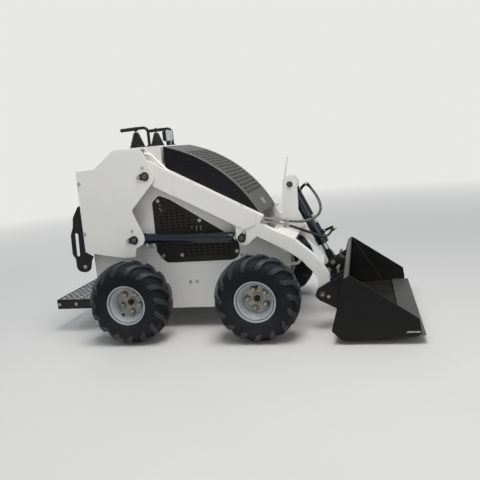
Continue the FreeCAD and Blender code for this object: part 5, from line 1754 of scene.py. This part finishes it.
@dataclass
class Studio:
    """Floor, light and the camera at the photograph's viewing angle."""

    eye: Point = (1381.0, -3375.0, 1099.0)
    yaw: float = 13.23
    pitch: float = 9.77
    roll: float = -5.38
    focal_pixels: float = 541.9
    frame_pixels: int = 480
    sensor: float = 36.0
    floor_size: float = 60.0
    floor_color: Color = (0.56, 0.555, 0.545)
    floor_shade: float = 0.96
    backdrop: Color = (0.80, 0.80, 0.79)
    sky_low: Color = (0.80, 0.79, 0.77)
    sky_high: Color = (0.88, 0.93, 1.0)
    sky_strength: float = 0.46
    fade: Spot = (1.6, 9.0)
    lamps: tuple[Lamp, ...] = (
        Lamp("key_lamp", (0.8, -1.2, 5.0), 2.4, 205.0, (1.0, 0.985, 0.96)),
        Lamp("front_lamp", (3.5, -4.0, 2.0), 2.5, 30.0, (1.0, 0.99, 0.97)),
        Lamp("strip_lamp", (0.3, -2.8, 4.4), 0.3, 22.0, (1.0, 1.0, 1.0)),
        Lamp("back_lamp", (-3.0, 4.0, 4.0), 3.0, 60.0, (0.95, 0.98, 1.0)),
    )

    @staticmethod
    def seen(work: Tree) -> object:
        """Tell the rays that see a surface from those that only light.

        Args:
            work: The material's tree.

        Returns:
            1 for rays of the camera, of reflections and through glass, and 0 for the others.
        """
        rays = work.add("LightPath").outputs
        both = work.math("ADD", rays["Is Camera Ray"], rays["Is Glossy Ray"], clamp=True)
        return work.math("ADD", both, rays["Is Transmission Ray"], clamp=True)

    def camera(self) -> None:
        """Set the camera up."""
        yaw, pitch, roll = (math.radians(value) for value in (self.yaw, self.pitch, self.roll))
        ahead = Vector((-math.sin(yaw) * math.cos(pitch), math.cos(yaw) * math.cos(pitch),
                        -math.sin(pitch)))
        right = Vector((math.cos(yaw), math.sin(yaw), 0.0))
        above = right.cross(ahead)
        tilted_right = right * math.cos(roll) + above * math.sin(roll)
        tilted_up = above * math.cos(roll) - right * math.sin(roll)
        data = bpy.data.cameras.new("camera")
        data.sensor_width = self.sensor
        data.lens = self.focal_pixels / self.frame_pixels * self.sensor
        item = add_object("camera", data)
        turn = Matrix((tilted_right, tilted_up, -ahead)).transposed().to_4x4()
        item.matrix_world = Matrix.Translation(Machine.at(*self.eye)) @ turn
        bpy.context.scene.camera = item

    def floor(self) -> None:
        """A plain pale floor that takes the shadow and fades into the backdrop."""
        half = self.floor_size / 2
        mesh = bpy.data.meshes.new("floor")
        corners = [(-half, -half, 0.0), (half, -half, 0.0), (half, half, 0.0), (-half, half, 0.0)]
        mesh.from_pydata(corners, [], [(0, 1, 2, 3)])
        item = add_object("floor", mesh)
        material = bpy.data.materials.new("floor")
        material.use_nodes = True
        work = Tree(material.node_tree)
        place = work.place()
        tone = work.noise(place, 3.0, 6.0, 0.6)
        shade = tuple(channel * self.floor_shade for channel in self.floor_color)
        color = work.mix(tone, self.floor_color, shade)
        grain = work.noise(place, 160.0, 3.0)
        bump = work.add("Bump", inputs={"Strength": 0.2, "Distance": 0.001, "Height": grain})
        shader = work.add("BsdfPrincipled", inputs={"Base Color": color, "Roughness": 0.75,
                                                    "Normal": bump.outputs[0]})
        reach = work.add("VectorMath", operation="LENGTH", inputs={0: place})
        far = work.math("MULTIPLY", work.span(reach.outputs["Value"], *self.fade), self.seen(work))
        plain = work.add("Emission", inputs={"Color": self.backdrop})
        mixed = work.add("MixShader", inputs={0: far, 1: shader.outputs[0], 2: plain.outputs[0]})
        work.add("OutputMaterial", inputs={"Surface": mixed.outputs[0]})
        mesh.materials.append(material)

    def light(self) -> None:
        """A pale sky and soft lamps above, in front and behind."""
        world = bpy.data.worlds.new("sky")
        bpy.context.scene.world = world
        world.use_nodes = True
        work = Tree(world.node_tree)
        height = work.add("SeparateXYZ", inputs={"Vector": work.place("Generated")}).outputs["Z"]
        tint = work.mix(work.span(height, -0.1, 0.6), self.sky_low, self.sky_high)
        light = work.add("Background", inputs={"Color": tint, "Strength": self.sky_strength})
        plain = work.add("Background", inputs={"Color": self.backdrop, "Strength": 1.0})
        direct = work.add("LightPath").outputs["Is Camera Ray"]
        mixed = work.add("MixShader", inputs={0: direct, 1: light.outputs[0], 2: plain.outputs[0]})
        work.add("OutputWorld", inputs={"Surface": mixed.outputs[0]})
        for lamp in self.lamps:
            lamp.build()

    def build(self) -> None:
        """Make the whole studio."""
        bpy.context.scene.view_settings.view_transform = "Standard"
        self.camera()
        self.floor()
        self.light()
        LOG.info("studio ready")


def main() -> None:
    """Build the studio, then dress the machine piece by piece."""
    logging.basicConfig(level=logging.INFO, format="%(message)s")
    Studio().build()
    palette = Palette()
    palette.dress_nodes()
    Form.palette = palette
    Form.slots = {part["material_slot"] for part in frame["record"]["subparts"]}
    for end in End:
        for side in Side:
            Wheel(end, side).build()
    for group in (Motors(), Body(), Platform(), Controls(), Hood(), Arms(), Rams(), Bucket()):
        group.build()
    Hoses().build(palette)


if __name__ == "__main__":
    main()
